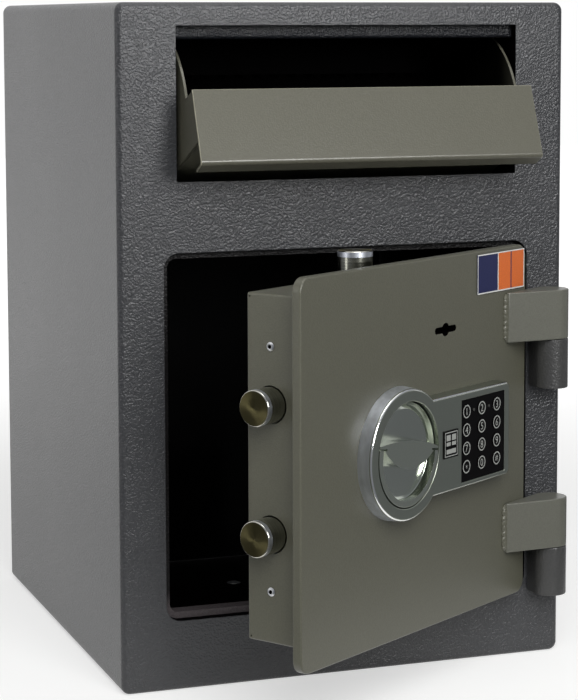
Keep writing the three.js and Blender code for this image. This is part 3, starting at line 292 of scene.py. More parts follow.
def arcPoints(centre, radius, start, end, steps):
    points = []
    for i in range(steps + 1):
        angle = radians(start + (end - start) * i / steps)
        points.append((centre[0] + radius * cos(angle), centre[1] + radius * sin(angle)))
    return points


def roundedLoop(box, radius):
    # A rounded rectangle; the box is (left, right, bottom, top)
    radius = max(radius, sharpest)
    left, right, bottom, top = grown(box, -radius)
    corners = (right, bottom, -90), (right, top, 0), (left, top, 90), (left, bottom, 180)
    return [p for x, z, a in corners for p in arcPoints((x, z), radius, a, a + 90, cornerSteps)]


def grown(box, by):
    left, right, bottom, top = box
    return left - by, right + by, bottom - by, top + by


def circleLoop(centre, radius, steps):
    return arcPoints(centre, radius, 0, 360, steps)[:-1]


def frontLoop(loop, depth):
    return [(x, depth, z) for x, z in loop]


def level(loop, height):
    return [(x, y, height) for x, y in loop]


def addLoop(bm, points):
    return [bm.verts.new(Vector(p) * mm) for p in points]


def bridge(bm, first, second):
    corners = zip(first, first[1:] + first[:1], second[1:] + second[:1], second)
    return [bm.faces.new(four) for four in corners]


def sweep(bm, loops):
    # Joins loops one after another and gives the faces of each step
    rows = [addLoop(bm, loop) for loop in loops]
    return rows, [bridge(bm, first, second) for first, second in zip(rows, rows[1:])]


def paintFaces(faces, index):
    for face in faces:
        face.material_index = index


def fillFace(bm, *loops, paint=0):
    edges = []
    for loop in loops:
        for pair in zip(loop, loop[1:] + loop[:1]):
            edges.append(bm.edges.get(pair) or bm.edges.new(pair))
    known = set(bm.faces)
    bmesh.ops.triangle_fill(bm, use_beauty=True, use_dissolve=False, edges=edges)
    paintFaces([face for face in bm.faces if face not in known], paint)


def wallFace(faces, side):
    # The flat face between two rounded corners of a swept loop
    place = ("right", "top", "left", "bottom").index(side)
    return faces[place * (cornerSteps + 1) + cornerSteps]


def pierce(bm, outerFace, innerFace, holes):
    # Cuts the same holes in two parallel faces and lines them
    pairs = [(addLoop(bm, outer), addLoop(bm, inner)) for outer, inner in holes]
    for face, index in ((outerFace, 0), (innerFace, 1)):
        corners, paint = list(face.verts), face.material_index
        bm.faces.remove(face)
        fillFace(bm, corners, *[pair[index] for pair in pairs], paint=paint)
    for outer, inner in pairs:
        bridge(bm, outer, inner)


def rounding(radius, depth, inset, steps, turned=1):
    # Steps of a quarter turn: (depth, inset) from a flat face to the side that meets it
    quarter = [radians(90 * i / steps) for i in range(steps + 1)]
    return [(depth + turned * radius * (1 - cos(a)), inset + radius * (1 - sin(a))) for a in quarter]


def lathe(profile, steps, paints=()):
    # A profile of (radius, height) points turned about the Z axis; paints are material numbers, one a step
    bm = bmesh.new()
    rows = []
    for radius, height in profile:
        ring = circleLoop((0, 0), radius, steps) if radius > 0 else [(0, 0)]
        rows.append([bm.verts.new((x * mm, y * mm, height * mm)) for x, y in ring])
    for number, (first, second) in enumerate(zip(rows, rows[1:])):
        for i in range(steps):
            j = (i + 1) % steps
            corners = (first, i), (first, j), (second, j), (second, i)
            kept = list(dict.fromkeys(row[place % len(row)] for row, place in corners))
            if len(kept) > 2:
                bm.faces.new(kept).material_index = paints[number] if number < len(paints) else 0
    return bm


def prism(outline, bottom, top):
    bm = bmesh.new()
    rows, _ = sweep(bm, [level(outline, bottom), level(outline, top)])
    for row in rows:
        fillFace(bm, row)
    return bm


def filletLine(points, radius, steps=6):
    # Rounds the inner corners of an open line
    points = [Vector(p) for p in points]
    line = points[:1]
    for before, here, after in zip(points, points[1:], points[2:]):
        inward = (here - before).normalized()
        outward = (after - here).normalized()
        half = inward.angle(outward) / 2
        start = here - inward * radius * tan(half)
        side = 1 if inward.x * outward.y - inward.y * outward.x > 0 else -1
        centre = start + Vector((-inward.y, inward.x)) * side * radius
        arm = start - centre
        for i in range(steps + 1):
            line.append(centre + Matrix.Rotation(side * 2 * half * i / steps, 2) @ arm)
    return line + points[-1:]


def offsetLine(points, distance):
    line = []
    last = len(points) - 1
    for i, here in enumerate(points):
        before, after = max(i, 1), min(i, last - 1)
        inward = (points[before] - points[before - 1]).normalized()
        outward = (points[after + 1] - points[after]).normalized()
        normal = Vector((-(inward + outward).y, (inward + outward).x)).normalized()
        mitre = max(normal.dot(Vector((-inward.y, inward.x))), leastMitre)
        line.append(here + normal * distance / mitre)
    return line


def bentSheet(points, radius, thickness, left, right):
    # A sheet folded along lines that run across; points are (depth, height) of its outer side
    line = filletLine(points, radius)
    section = [*line, *reversed(offsetLine(line, thickness))]
    bm = bmesh.new()
    rows, _ = sweep(bm, [[(across, p.x, p.y) for p in section] for across in (left, right)])
    for row in rows:
        for i in range(len(line) - 1):
            bm.faces.new((row[i], row[i + 1], row[-i - 2], row[-i - 1]))
    return bm


def takeMesh(bm, name):
    mesh = bpy.data.meshes.new(name)
    bm.to_mesh(mesh)
    bm.free()
    return mesh


def addObject(name, data):
    added = bpy.data.objects.new(name, data)
    bpy.context.scene.collection.objects.link(added)
    return added


def finishPiece(name, bm, body, paints, node, smooth=35, space=None, baked=True):
    # A baked piece holds its place in its vertices; the others keep their own axes for turned marks
    bmesh.ops.recalc_face_normals(bm, faces=bm.faces[:])
    space = space or spaces[body]
    mesh = takeMesh(bm, name)
    for polygon in mesh.polygons:
        polygon.use_smooth = True
    mesh.set_sharp_from_angle(angle=radians(smooth))
    for paint in paints:
        mesh.materials.append(finishes[paint])
    piece = addObject(name, mesh)
    if baked:
        mesh.transform(space)
    else:
        piece.matrix_world = space
    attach(piece, body)
    if node:
        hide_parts(node)
    return piece


def weigh(piece):
    # Keeps flat faces flat beside rounded ones
    assign(piece.modifiers.new("flatFaces", "WEIGHTED_NORMAL"), keep_sharp=True, weight=flatWeight)


def softenEdges(piece, width, segments=2, angle=50, paint=-1):
    assign(
        piece.modifiers.new("roundedEdges", "BEVEL"), width=width * mm, segments=segments,
        limit_method="ANGLE", angle_limit=radians(angle), miter_outer="MITER_ARC", material=paint,
    )
    weigh(piece)


# Body

bodySizes = {
    "box": (-171, 171, 0, 490), "depth": 362, "wall": 2.5, "front": 3, "cornerRadius": 6.5, "foldRadius": 4,
    "leastRadius": 0.6, "foldSteps": 8,
    "openings": (((-137.75, 142.55, 50.5, 314.4), 11), ((-127.7, 132.5, 364.6, 473.6), 1)),
    "collarDepth": 8, "collarWall": 2, "collarFold": 0.45, "collarSteps": 5,
    "anchorDiameter": 12, "anchorSpacing": 180, "anchorSteps": 32,
}


def buildBody(s):
    bm = bmesh.new()
    outer = [(s.depth, 0), *reversed(rounding(s.foldRadius, 0, 0, s.foldSteps))]
    outerRows, outerSteps = sweep(bm, [
        frontLoop(roundedLoop(grown(s.box, -inset), max(s.cornerRadius - inset, s.leastRadius)), depth)
        for depth, inset in outer
    ])
    openings = []
    for box, radius in s.openings:
        collar = rounding(s.collarFold, 0, 0, s.collarSteps)
        collar += [(s.collarDepth, 0), (s.collarDepth, s.collarWall), (s.front, s.collarWall)]
        rows, steps = sweep(bm, [
            frontLoop(roundedLoop(grown(box, by), radius + by), depth) for depth, by in collar
        ])
        openings.append(rows)
        # The collar walls of both openings take the near-black coat, as painted shade
        paintFaces(sum(steps[s.collarSteps:], []), 1)
    fillFace(bm, outerRows[-1], *[rows[0] for rows in openings])
    inside = roundedLoop(grown(s.box, -s.wall), s.cornerRadius - s.wall)
    innerRows, innerSteps = sweep(bm, [frontLoop(inside, s.front), frontLoop(inside, s.depth)])
    # The inner faces of the body take the near-black coat, as painted shade
    fillFace(bm, innerRows[0], *[rows[-1] for rows in openings], paint=1)
    paintFaces(sum(innerSteps, []), 1)
    bridge(bm, innerRows[1], outerRows[0])
    holes = []
    for side in (-1, 1):
        middle = (0, s.depth / 2 + side * s.anchorSpacing / 2)
        ring = circleLoop(middle, s.anchorDiameter / 2, s.anchorSteps)
        holes.append((level(ring, 0), level(ring, s.wall)))
    pierce(bm, wallFace(outerSteps[0], "bottom"), wallFace(innerSteps[0], "bottom"), holes)
    weigh(finishPiece("bodyShell", bm, "body", ["bodyCoat", "innerCoat"], "body_shell"))


buildBody(Sizes(**bodySizes))
print("body built")


# Hinges: a welded knuckle on the body, an arm on the door, and the weld beside each arm

hingeSizes = {
    "barrelRadius": 12.5, "leafHeight": 36.7, "joints": (("upper", 242.3), ("lower", 85.9)), "sunk": 0.3,
    "gap": 0.15, "slope": 29, "armEdge": 2.7, "tail": 8.5, "wrap": 40, "pinRadius": 5.3, "pinDepth": 30.3,
    "knuckleSteps": 40, "armSteps": 36, "boreSteps": 28, "knuckleEdge": 0.7, "armRounding": 0.8, "smooth": 25,
}
weldSizes = {
    "width": 4.2, "height": 2.4, "ripples": 9, "steps": 96, "around": 10, "offset": 0.6, "base": 0.2,
    "swell": (0.82, 0.18, 0.6), "taper": (9, 0.25), "wander": ((0.25, 17, 0), (0.15, 41, 1)),
    "ends": 0.8, "lap": 0.5, "innerShare": 0.35, "smooth": 60,
}


def uprightBlock(outline, bore, bottom, top, boreFrom, boreTo):
    # A block with a blind round bore, open at one end
    bm = bmesh.new()
    (low, high), _ = sweep(bm, [level(outline, bottom), level(outline, top)])
    atTop = boreTo >= top
    ends = (top, boreFrom) if atTop else (bottom, boreTo)
    (mouth, floor), _ = sweep(bm, [level(bore, end) for end in ends])
    bm.faces.new(floor)
    fillFace(bm, high if atTop else low, mouth)
    bm.faces.new(low if atTop else high)
    return bm


def buildHinges(s):
    x, y = hingePin
    radius = s.barrelRadius
    slope = radians(s.slope)
    heel = x - (radius / cos(slope) - y - s.armEdge) / tan(slope)
    bore = circleLoop((x, y), s.pinRadius, s.boreSteps)
    knuckle = [(x + s.tail, -s.sunk), (x - radius, -s.sunk), (x - radius, y)]
    knuckle += arcPoints((x, y), radius, 180, 360 + s.wrap, s.knuckleSteps)[1:]
    arm = [(heel, -s.sunk), (heel, -s.armEdge)]
    arm += arcPoints((x, y), radius, -90 - s.slope, 90, s.armSteps)
    for label, joint in s.joints:
        below, above = joint - s.gap, joint + s.gap
        bm = uprightBlock(knuckle, bore, below - s.leafHeight, below, joint - s.pinDepth, joint)
        node = "hinge_knuckle_" + label
        # The knuckle takes the lighter body coat, as painted light
        piece = finishPiece(label + "Knuckle", bm, "body", ["knuckleLitCoat"], node, s.smooth)
        softenEdges(piece, s.knuckleEdge, segments=3)
        bm = uprightBlock(arm, bore, above, above + s.leafHeight, joint, joint + s.pinDepth)
        node = "hinge_arm_" + label
        # The arm takes the lighter door paint, as painted light
        piece = finishPiece(label + "Arm", bm, "door", ["armLitPaint"], node, s.smooth)
        softenEdges(piece, s.armRounding, segments=3)
        buildWeld(label, heel, above, above + s.leafHeight, Sizes(**weldSizes))


def buildWeld(label, heel, bottom, top, s):
    # A painted weld bead: ripples that lap over one another, thinning out at both ends
    bm = bmesh.new()
    loops = []
    least, swell, power = s.swell
    rise, end = s.taper
    for i in range(s.steps + 1):
        share = i / s.steps
        ripple = share * s.ripples % 1
        thinning = min(1, rise * share + end, rise * (1 - share) + end)
        size = (least + swell * sin(pi * ripple) ** power) * thinning
        middle = heel + s.offset + sum(reach * sin(pace * share + start) for reach, pace, start in s.wander)
        z = bottom + s.ends + share * (top - bottom - 2 * s.ends)
        loop = []
        for k in range(s.around + 1):
            angle = pi * k / s.around
            across = s.width * size * cos(angle) * (1 if k < s.around / 2 else s.innerShare)
            lap = s.lap * sin(angle) * cos(pi * ripple)
            loop.append((middle - across, -s.base - s.height * size * sin(angle), z - lap))
        loops.append(loop)
    rows, _ = sweep(bm, loops)
    bm.faces.new(rows[0])
    bm.faces.new(rows[-1])
    finishPiece(label + "Weld", bm, "door", ["doorPaint"], None, s.smooth)


buildHinges(Sizes(**hingeSizes))
print("hinges built")


# Hopper: its front panel, folded at the foot, the two sector plates and the guard above it

hopperSizes = {
    "middle": 2.4, "panelWidth": 256.2, "panelReach": 93.5, "panelDrop": 1.1, "panelHeight": 54.7,
    "lip": 13.2, "lipDrop": 1.2, "sheet": 2, "bend": 3, "panelEdge": 0.55, "sheetEdge": 0.3,
    "sectorRadius": 73, "sectorHalf": 126.9, "sectorGap": 0.3, "trayDepth": 34.4, "trayRear": 30,
    "pivotHole": 5.3, "sectorSteps": 40, "holeSteps": 24,
    "guardAcross": (-129.6, 134.4), "guardFront": 8.3, "guardBottom": 464, "guardTop": 487.2,
    "guardFold": 7, "guardBend": 2.6, "smooth": 30, "sectorSmooth": 20,
}


def buildHopper(s):
    half, front = s.panelWidth / 2, -s.panelReach
    foot = -s.panelDrop - s.panelHeight
    points = [(front, -s.panelDrop), (front, foot), (front + s.lip, foot - s.lipDrop)]
    bm = bentSheet(points, s.bend, s.sheet, s.middle - half, s.middle + half)
    paints = ["hopperPaint", "edgeHighlightPaint"]
    panel = finishPiece("hopperPanel", bm, "hopper", paints, "hopper_panel", s.smooth)
    # The rounded edges take the lighter paint, as a painted highlight
    softenEdges(panel, s.panelEdge, paint=1)
    start = front + s.sheet + s.sectorGap
    floor = -s.panelDrop - s.trayDepth - s.sheet
    section = [(start, floor), (s.trayRear, floor), (0, s.sectorRadius)]
    section += arcPoints((0, 0), s.sectorRadius, 90, 180, s.sectorSteps)[1:] + [(start, -s.panelDrop)]
    hole = circleLoop((0, 0), s.pivotHole, s.holeSteps)
    for label, side in (("left", -1), ("right", 1)):
        outer = s.middle + side * s.sectorHalf
        bm = bmesh.new()
        rows = []
        for across in (outer, outer - side * s.sheet):
            rows.append([addLoop(bm, [(across, y, z) for y, z in loop]) for loop in (section, hole)])
        for paint, row in enumerate(rows):
            fillFace(bm, *row, paint=paint)
        for first, second in zip(*rows):
            bridge(bm, first, second)
        # The inner face darkens towards the rear, as painted shade
        node, paints = "hopper_side_" + label, ["hopperPaint", "trayShadePaint"]
        piece = finishPiece(label + "Sector", bm, "hopper", paints, node, s.sectorSmooth)
        softenEdges(piece, s.sheetEdge)
    rear = s.guardFront + s.guardFold
    points = [(rear, s.guardBottom), (s.guardFront, s.guardBottom), (s.guardFront, s.guardTop)]
    bm = bentSheet(points, s.guardBend, -s.sheet, *s.guardAcross)
    # The guard takes the darkened body coat, as painted shade
    guard = finishPiece("topGuard", bm, "body", ["guardShadeCoat"], "top_guard", s.smooth)
    softenEdges(guard, s.sheetEdge)


buildHopper(Sizes(**hopperSizes))
print("hopper built")


# Door plate and the box behind it

doorSizes = {
    "box": (-136.35, 141.15, 51.9, 313), "radius": 9.6, "thickness": 7,
    "frontEdge": 1.3, "frontSteps": 6, "rearEdge": 0.8, "rearSteps": 4, "spindleHole": 5.6, "holeSteps": 24,
    "keyhole": (33.7, 261), "keyholeLength": 27.3, "keyholeSlot": 4.6, "keyholeBore": 9.4,
    "keyholeEdge": 0.35, "keyholeBevel": (0.12, 0.1), "keyholeSteps": (10, 14),
}


def keyholeLoop(s, grow):
    half, radius = s.keyholeSlot / 2 + grow, s.keyholeBore / 2 + grow
    end = (s.keyholeLength - s.keyholeSlot) / 2
    meet = degrees(asin(half / radius))
    x, z = s.keyhole
    few, many = s.keyholeSteps
    loop = []
    for turned, place in ((0, x + end), (180, x - end)):
        loop += arcPoints((place, z), half, turned - 90, turned + 90, few)
        loop += arcPoints((x, z), radius, turned + meet, turned + 180 - meet, many)
    return loop


def buildDoor(s):
    bm = bmesh.new()
    edges = rounding(s.frontEdge, 0, 0, s.frontSteps)
    edges += reversed(rounding(s.rearEdge, s.thickness, 0, s.rearSteps, -1))
    rows, _ = sweep(bm, [
        frontLoop(roundedLoop(grown(s.box, -inset), s.radius - inset), depth) for depth, inset in edges
    ])
    keyRows, keySteps = sweep(bm, [
        frontLoop(keyholeLoop(s, grow), depth)
        for depth, grow in ((0, s.keyholeEdge), s.keyholeBevel, (s.keyholeEdge, 0), (s.thickness, 0))
    ])
    # The keyhole's walls take the near-black coat, as painted shade
    paintFaces(keySteps[-1], 1)
    spindle = circleLoop(lockAxis, s.spindleHole, s.holeSteps)
    spindleRows, _ = sweep(bm, [frontLoop(spindle, 0), frontLoop(spindle, s.thickness)])
    for index in (0, -1):
        fillFace(bm, rows[index], keyRows[index], spindleRows[index])
    weigh(finishPiece("doorPlate", bm, "door", ["doorPaint", "innerCoat"], "door_plate"))


boxSizes = {
    "box": (-122.65, 127.45, 65.6, 299.3), "front": 7.3, "rear": 54.5, "wall": 2,
    "bend": 1.6, "leastBend": 0.4, "bendSteps": 6,
    "boltAxis": 34.6, "uprightBolt": -27.5, "boltHole": (12.85, 48),
    "holes": ((226, 12.85, 48), (139.2, 12.85, 48), (264.6, 2.7, 20), (100.6, 2.7, 20)),
    "reliefs": ((296.8, 0.75, 16), (68.1, 0.75, 16)), "reliefInset": 2.6,
    "window": (28.5, 80.5, 88.6, 136.6), "windowRadius": 1,
}


def buildBox(s):
    # Holes in the left wall are (height, radius, steps): bolts and rivets, and reliefs of the bends
    bm = bmesh.new()
    left, _, bottom, top = s.box
    wall = s.wall

    def outline(inset, depth):
        return frontLoop(roundedLoop(grown(s.box, -inset), max(s.bend - inset, s.leastBend)), depth)

    bends = [(s.front, 0), *reversed(rounding(s.bend, s.rear, 0, s.bendSteps, -1))]
    outerRows, outerSteps = sweep(bm, [outline(inset, depth) for depth, inset in bends])
    innerRows, innerSteps = sweep(bm, [outline(wall, s.front), outline(wall, s.rear - wall)])
    bridge(bm, outerRows[0], innerRows[0])
    window = roundedLoop(s.window, s.windowRadius)
    windowRows, _ = sweep(bm, [frontLoop(window, s.rear), frontLoop(window, s.rear - wall)])
    fillFace(bm, outerRows[-1], windowRows[0])
    fillFace(bm, innerRows[-1], windowRows[1])
    rings = [circleLoop((s.boltAxis, height), *size) for height, *size in s.holes]
    rings += [circleLoop((s.rear - s.reliefInset, height), *size) for height, *size in s.reliefs]
    pierce(bm, wallFace(outerSteps[0], "left"), wallFace(innerSteps[0], "left"), [
        ([(left, y, z) for y, z in ring], [(left + wall, y, z) for y, z in ring]) for ring in rings
    ])
    ring = circleLoop((s.uprightBolt, s.boltAxis), *s.boltHole)
    for side, outer, inner in (("top", top, top - wall), ("bottom", bottom, bottom + wall)):
        faces = wallFace(outerSteps[0], side), wallFace(innerSteps[0], side)
        pierce(bm, *faces, [(level(ring, outer), level(ring, inner))])
    weigh(finishPiece("boltBox", bm, "door", ["doorPaint"], "bolt_box"))


buildDoor(Sizes(**doorSizes))
buildBox(Sizes(**boxSizes))
print("door built")


# Bolts and rivets, turned about their own axes

boltSizes = {
    "radius": 12.2, "length": 47, "polished": 4.2, "footEdge": ((-0.4, 0), (0, 0.4)),
    "endEdge": ((0, -0.7), (-0.1, -0.53), (-0.45, -0.12), (-0.65, 0)),
    "faceShare": 0.6, "faceDrop": 0.04, "dimple": ((0.8, -0.08), (0.5, -0.18), (0, -0.48)),
    "slot": "bolt_steel", "steps": 96, "smooth": 28, "paints": (0, 1, 1, 3, 2, 2, 2),
    # The polished band near each bolt's end takes the lighter bluish nickel, as a painted reflection
    "metals": ("turnedSteel", "groundSteel", "rimSteel", "sideNickel"),
    "places": (
        ("sideBoltUpper", "side_bolt_upper", "carriage", (-94.05, 34.6, 226), (-90, "Y")),
        ("sideBoltLower", "side_bolt_lower", "carriage", (-94.05, 34.6, 139.2), (-90, "Y")),
        ("topBolt", "top_bolt", "rising_bolt", (-27.5, 34.6, 273.3), (0, "X")),
        ("bottomBolt", "bottom_bolt", "sinking_bolt", (-27.5, 34.6, 91.6), (180, "X")),
    ),
}
rivetSizes = {
    "head": 3.05, "height": 1.1, "dome": ((-0.9, -0.2), (-0.3, -0.55), (0, -0.95)), "headEdge": 0.1,
    "bore": 1.35, "boreDepth": 3.5, "boreEdge": ((0, -0.3), (0.25, -0.04), (0.6, 0)),
    "shank": 2.4, "length": 8.9, "slot": "zinc_steel", "steps": 40, "smooth": 50,
    # The bore's floor and wall take the near-black coat, as painted shade
    "paints": (1, 1), "metals": ("rivetMetal", "innerCoat"),
    "places": (
        ("rivetUpper", "rivet_upper", "door", (-122.95, 34.6, 264.6), (-90, "Y")),
        ("rivetLower", "rivet_lower", "door", (-122.95, 34.6, 100.6), (-90, "Y")),
    ),
}


def beside(corner, steps):
    # Points of a profile beside one of its corners
    return [(corner[0] + across, corner[1] + up) for across, up in steps]


def boltProfile(s):
    foot, end = beside((s.radius, 0), s.footEdge), beside((s.radius, s.length), s.endEdge)
    face = (s.radius * s.faceShare, s.length - s.faceDrop)
    return [(0, 0), *foot, (s.radius, s.length - s.polished), *end, face, *beside((0, s.length), s.dimple)]


def rivetProfile(s):
    foot, tip = s.height - s.boreDepth, s.height - s.length
    bore, dome = beside((s.bore, s.height), s.boreEdge), beside((s.head, s.height), s.dome)
    head = [(0, foot), (s.bore, foot), *bore, *dome, (s.head - s.headEdge, 0)]
    return [*head, (s.shank, 0), (s.shank, tip), (0, tip)]


def buildTurned(s, profile):
    for name, node, body, place, turned in s.places:
        bm = lathe(profile, s.steps, s.paints)
        space = doorSpace @ shift(*place) @ turn(*turned)
        finishPiece(name, bm, body, s.metals, node, s.smooth, space, baked=False)


for sizes, profileOf in ((boltSizes, boltProfile), (rivetSizes, rivetProfile)):
    buildTurned(Sizes(**sizes), profileOf(Sizes(**sizes)))


# Lock

housingSizes = {
    "height": 11, "foot": 0.1, "ringRadius": 46.2, "taper": 0.8,
    "edge": 1.9, "edgeSteps": 7, "brightSteps": (3, 6), "smooth": 50,
    "bowl": 36.7, "bowlEdge": 0.7, "bowlSteps": 4, "ringSteps": 200, "roundSteps": 120, "cornerSteps": 10,
    "reach": 130, "half": 34.5, "corner": 5, "leastCorner": 0.8, "casingTaper": 0.4,
    "panel": (65.3, 122.5, -30.35, 28.55), "panelRadius": 0.6, "panelEdge": 0.35, "panelSteps": 3,
    "cavity": (48.6, 127.5, -32, 32), "cavityRadius": 2, "ceiling": 8.5,
}


def housingOutline(s, inset, taper):
    ring = s.ringRadius - inset - s.taper * taper
    half = s.half - inset - s.casingTaper * taper
    right = s.reach - inset - s.casingTaper * taper
    corner = max(s.corner - inset, s.leastCorner)
    angle = degrees(asin(half / ring))
    loop = arcPoints((0, 0), ring, angle, 360 - angle, s.ringSteps)
    for start, y in ((-90, corner - half), (0, half - corner)):
        loop += arcPoints((right - corner, y), corner, start, start + 90, s.cornerSteps)
    return loop


def wellSteps(top, radius, steps, bottom):
    # Heights and insets down a rounded edge and a straight wall
    return [(top - depth, inset) for depth, inset in rounding(radius, 0, 0, steps)] + [(bottom, 0)]


def buildHousing(s):
    bm = bmesh.new()
    top = s.height
    loops = [level(housingOutline(s, 0, 0), s.foot)]
    for rise, inset in rounding(s.edge, 0, 0, s.edgeSteps)[::-1]:
        loops.append(level(housingOutline(s, inset, 1), top - rise))
    outerRows, steps = sweep(bm, loops)
    # The ring's rounded edge takes the near-white nickel, as a painted highlight
    paintFaces(sum(steps[slice(*s.brightSteps)], []), 1)
    # The ring's side takes the lighter bluish nickel, as a painted reflection
    paintFaces([face for face in steps[0] if face.calc_center_median().x < s.bowl * mm], 2)
    bowl = wellSteps(top, s.bowlEdge, s.bowlSteps, s.foot)
    bowlRows, _ = sweep(bm, [level(circleLoop((0, 0), s.bowl + inset, s.roundSteps), z) for z, inset in bowl])
    window = wellSteps(top, s.panelEdge, s.panelSteps, s.ceiling)
    windowRows, _ = sweep(bm, [
        level(roundedLoop(grown(s.panel, inset), s.panelRadius + inset), z) for z, inset in window
    ])
    cavity = roundedLoop(s.cavity, s.cavityRadius)
    cavityRows, _ = sweep(bm, [level(cavity, s.ceiling), level(cavity, s.foot)])
    fillFace(bm, outerRows[-1], bowlRows[0], windowRows[0])
    fillFace(bm, cavityRows[0], windowRows[-1])
    fillFace(bm, outerRows[0], bowlRows[-1], cavityRows[-1])
    paints = ["satinNickel", "highlightNickel", "sideNickel"]
    weigh(finishPiece("lockHousing", bm, "door", paints, "lock_housing", s.smooth, lockSpace))


buildHousing(Sizes(**housingSizes))

knobSizes = {
    "radius": 35.8, "height": 11, "lift": 0.6, "edge": 0.5, "spindle": 5.3, "spindleTop": 6.9, "steps": 144,
    "floor": 1.5, "dishRadius": 30.4, "dishRise": 3.2, "dishSteps": 16,
    "wallAbove": ((30.9, 4.7), (31.5, 4.7), (33.2, 3.9), (34.4, 3.7), (38.8, 14), (0, 14)),
    "wallBelow": ((30.95, 5.2), (31.1, 6.4), (31.7, 14), (0, 14)),
    "gripAbove": (9.8, 5.4, 37.8), "gripBelow": (-9.3, 3.4, 30), "gripReach": 37.8, "gripSteps": 64,
    "bulgeShare": 0.97, "slitLength": 8.5, "slitDepth": 4, "slit": (3.1, 4.5), "slitOverrun": 3,
    "tilt": 8, "polishRadius": 34.6, "polishDrop": 1, "bevel": 0.4, "far": 80, "above": 30, "below": -5,
    "sameSpot": 5e-6, "smooth": 32, "bevelAngle": 45,
}
edgeShare = 0.3


def easedEdge(radius, top, edge):
    # The upper edge of a turned piece: two corners and a point between them
    between = edge * edgeShare
    return [(radius, top - edge), (radius - between, top - between), (radius - edge, top)]


def cutterPiece(bm):
    bmesh.ops.recalc_face_normals(bm, faces=bm.faces[:])
    return addObject("cutter", takeMesh(bm, "cutter"))


def dropObject(piece):
    data = piece.data
    bpy.data.objects.remove(piece)
    (bpy.data.meshes if isinstance(data, bpy.types.Mesh) else bpy.data.curves).remove(data)


def evaluatedMesh(piece):
    bpy.context.view_layer.update()
    return bpy.data.meshes.new_from_object(piece.evaluated_get(bpy.context.evaluated_depsgraph_get()))


def carve(target, cutter, operation="DIFFERENCE"):
    # Cuts one mesh object with another, which is then removed
    assign(target.modifiers.new("carve", "BOOLEAN"), operation=operation, solver="EXACT", object=cutter)
    result = evaluatedMesh(target)
    target.modifiers.clear()
    old = target.data
    target.data = result
    bpy.data.meshes.remove(old)
    dropObject(cutter)


def weldVerts(bm, distance=1e-7):
    bmesh.ops.remove_doubles(bm, verts=bm.verts[:], dist=distance)
    return bm


def gripSide(s, line, sign):
    # All above the grip (sign 1) or below it (sign -1), from an arc through its middle and one end
    middle, end, across = line
    drop = abs(middle - end)
    bulge = (across * across + drop * drop) / (2 * drop)
    side = min(s.gripReach, bulge * s.bulgeShare)
    swing = degrees(asin(side / bulge))
    arc = arcPoints((0, sign * middle - bulge), bulge, 90 + swing, 90 - swing, s.gripSteps)
    return [(x, sign * y) for x, y in arc] + [(side, sign * s.far), (-side, sign * s.far)]


def pocket(s, wall):
    # The hollow of the dish, steeper toward its edge, and the wall round it
    shares = [i / s.dishSteps for i in range(s.dishSteps + 1)]
    dish = [(s.dishRadius * share, s.floor + s.dishRise * share ** 2) for share in shares]
    return lathe([*dish, *wall], s.steps)


def buildKnob(s):
    profile = [(s.spindle, s.lift), (s.radius, s.lift), *easedEdge(s.radius, s.height, s.edge)]
    profile += [(0, s.height), (0, s.spindleTop), (s.spindle, s.spindleTop), (s.spindle, s.lift)]
    body = cutterPiece(weldVerts(lathe(profile, s.steps)))
    for line, sign, wall in ((s.gripAbove, 1, s.wallAbove), (s.gripBelow, -1, s.wallBelow)):
        tool = cutterPiece(pocket(s, wall))
        carve(tool, cutterPiece(prism(gripSide(s, line, sign), s.below, s.above)), "INTERSECT")
        carve(body, tool)
    low, high = s.slit
    near, far = s.radius - s.slitLength, s.radius + s.slitOverrun
    for left, right in ((-far, -near), (near, far)):
        slit = [(left, low), (right, low), (right, high), (left, high)]
        carve(body, cutterPiece(prism(slit, s.height - s.slitDepth, s.above)))
    bm = bmesh.new()
    bm.from_mesh(body.data)
    dropObject(body)
    weldVerts(bm, s.sameSpot)
    for face in bm.faces:
        middle = face.calc_center_median()
        if hypot(middle.x, middle.y) < s.polishRadius * mm and middle.z < (s.height - s.polishDrop) * mm:
            face.material_index = 2
    # The knob takes the lighter satin nickel, as painted light
    paints = ["gripLitNickel", "highlightNickel", "polishedNickel"]
    space = lockSpace @ turn(-s.tilt, "Z")
    piece = finishPiece("turningKnob", bm, "turning_knob", paints, "knob", s.smooth, space)
    # The knob's bevels take the near-white nickel, as a painted highlight
    softenEdges(piece, s.bevel, 3, s.bevelAngle, paint=1)


buildKnob(Sizes(**knobSizes))
print("lock built")


# Keypad: black panel, round keys with a pale ring and a number

keySizes = {
    "radius": 5.1, "flange": 5.8, "flangeHeights": (7.3, 8.3), "top": 11.2, "edge": 0.45, "steps": 48,
    "band": (3.9, 4.75), "print": 0.05, "numberHeight": 5.2, "signShare": 0.8, "letterShare": 0.7,
    "first": (71.6, 19.85), "pitch": (20, 13.15),
    "marks": (("1", "2", "3"), ("4", "5", "6"), ("7", "8", "9"), ("*", "0", "#")),
    "nodes": {"*": "key_clear", "#": "key_enter"},
}


def textMesh(text, height, thickness):
    curve = bpy.data.curves.new("mark", "FONT")
    assign(curve, body=text, align_x="CENTER", resolution_u=6)
    writing = addObject("mark", curve)
    mesh = evaluatedMesh(writing)
    dropObject(writing)
    bm = bmesh.new()
    bm.from_mesh(mesh)
    bpy.data.meshes.remove(mesh)
    run, rise = [v.co.x for v in bm.verts], [v.co.y for v in bm.verts]
    middle = Vector(((min(run) + max(run)) / 2, (min(rise) + max(rise)) / 2, 0))
    for vert in bm.verts:
        vert.co = (vert.co - middle) * height * mm
    for item in bmesh.ops.extrude_face_region(bm, geom=bm.faces[:])["geom"]:
        if isinstance(item, bmesh.types.BMVert):
            item.co.z += thickness * mm
    return bm


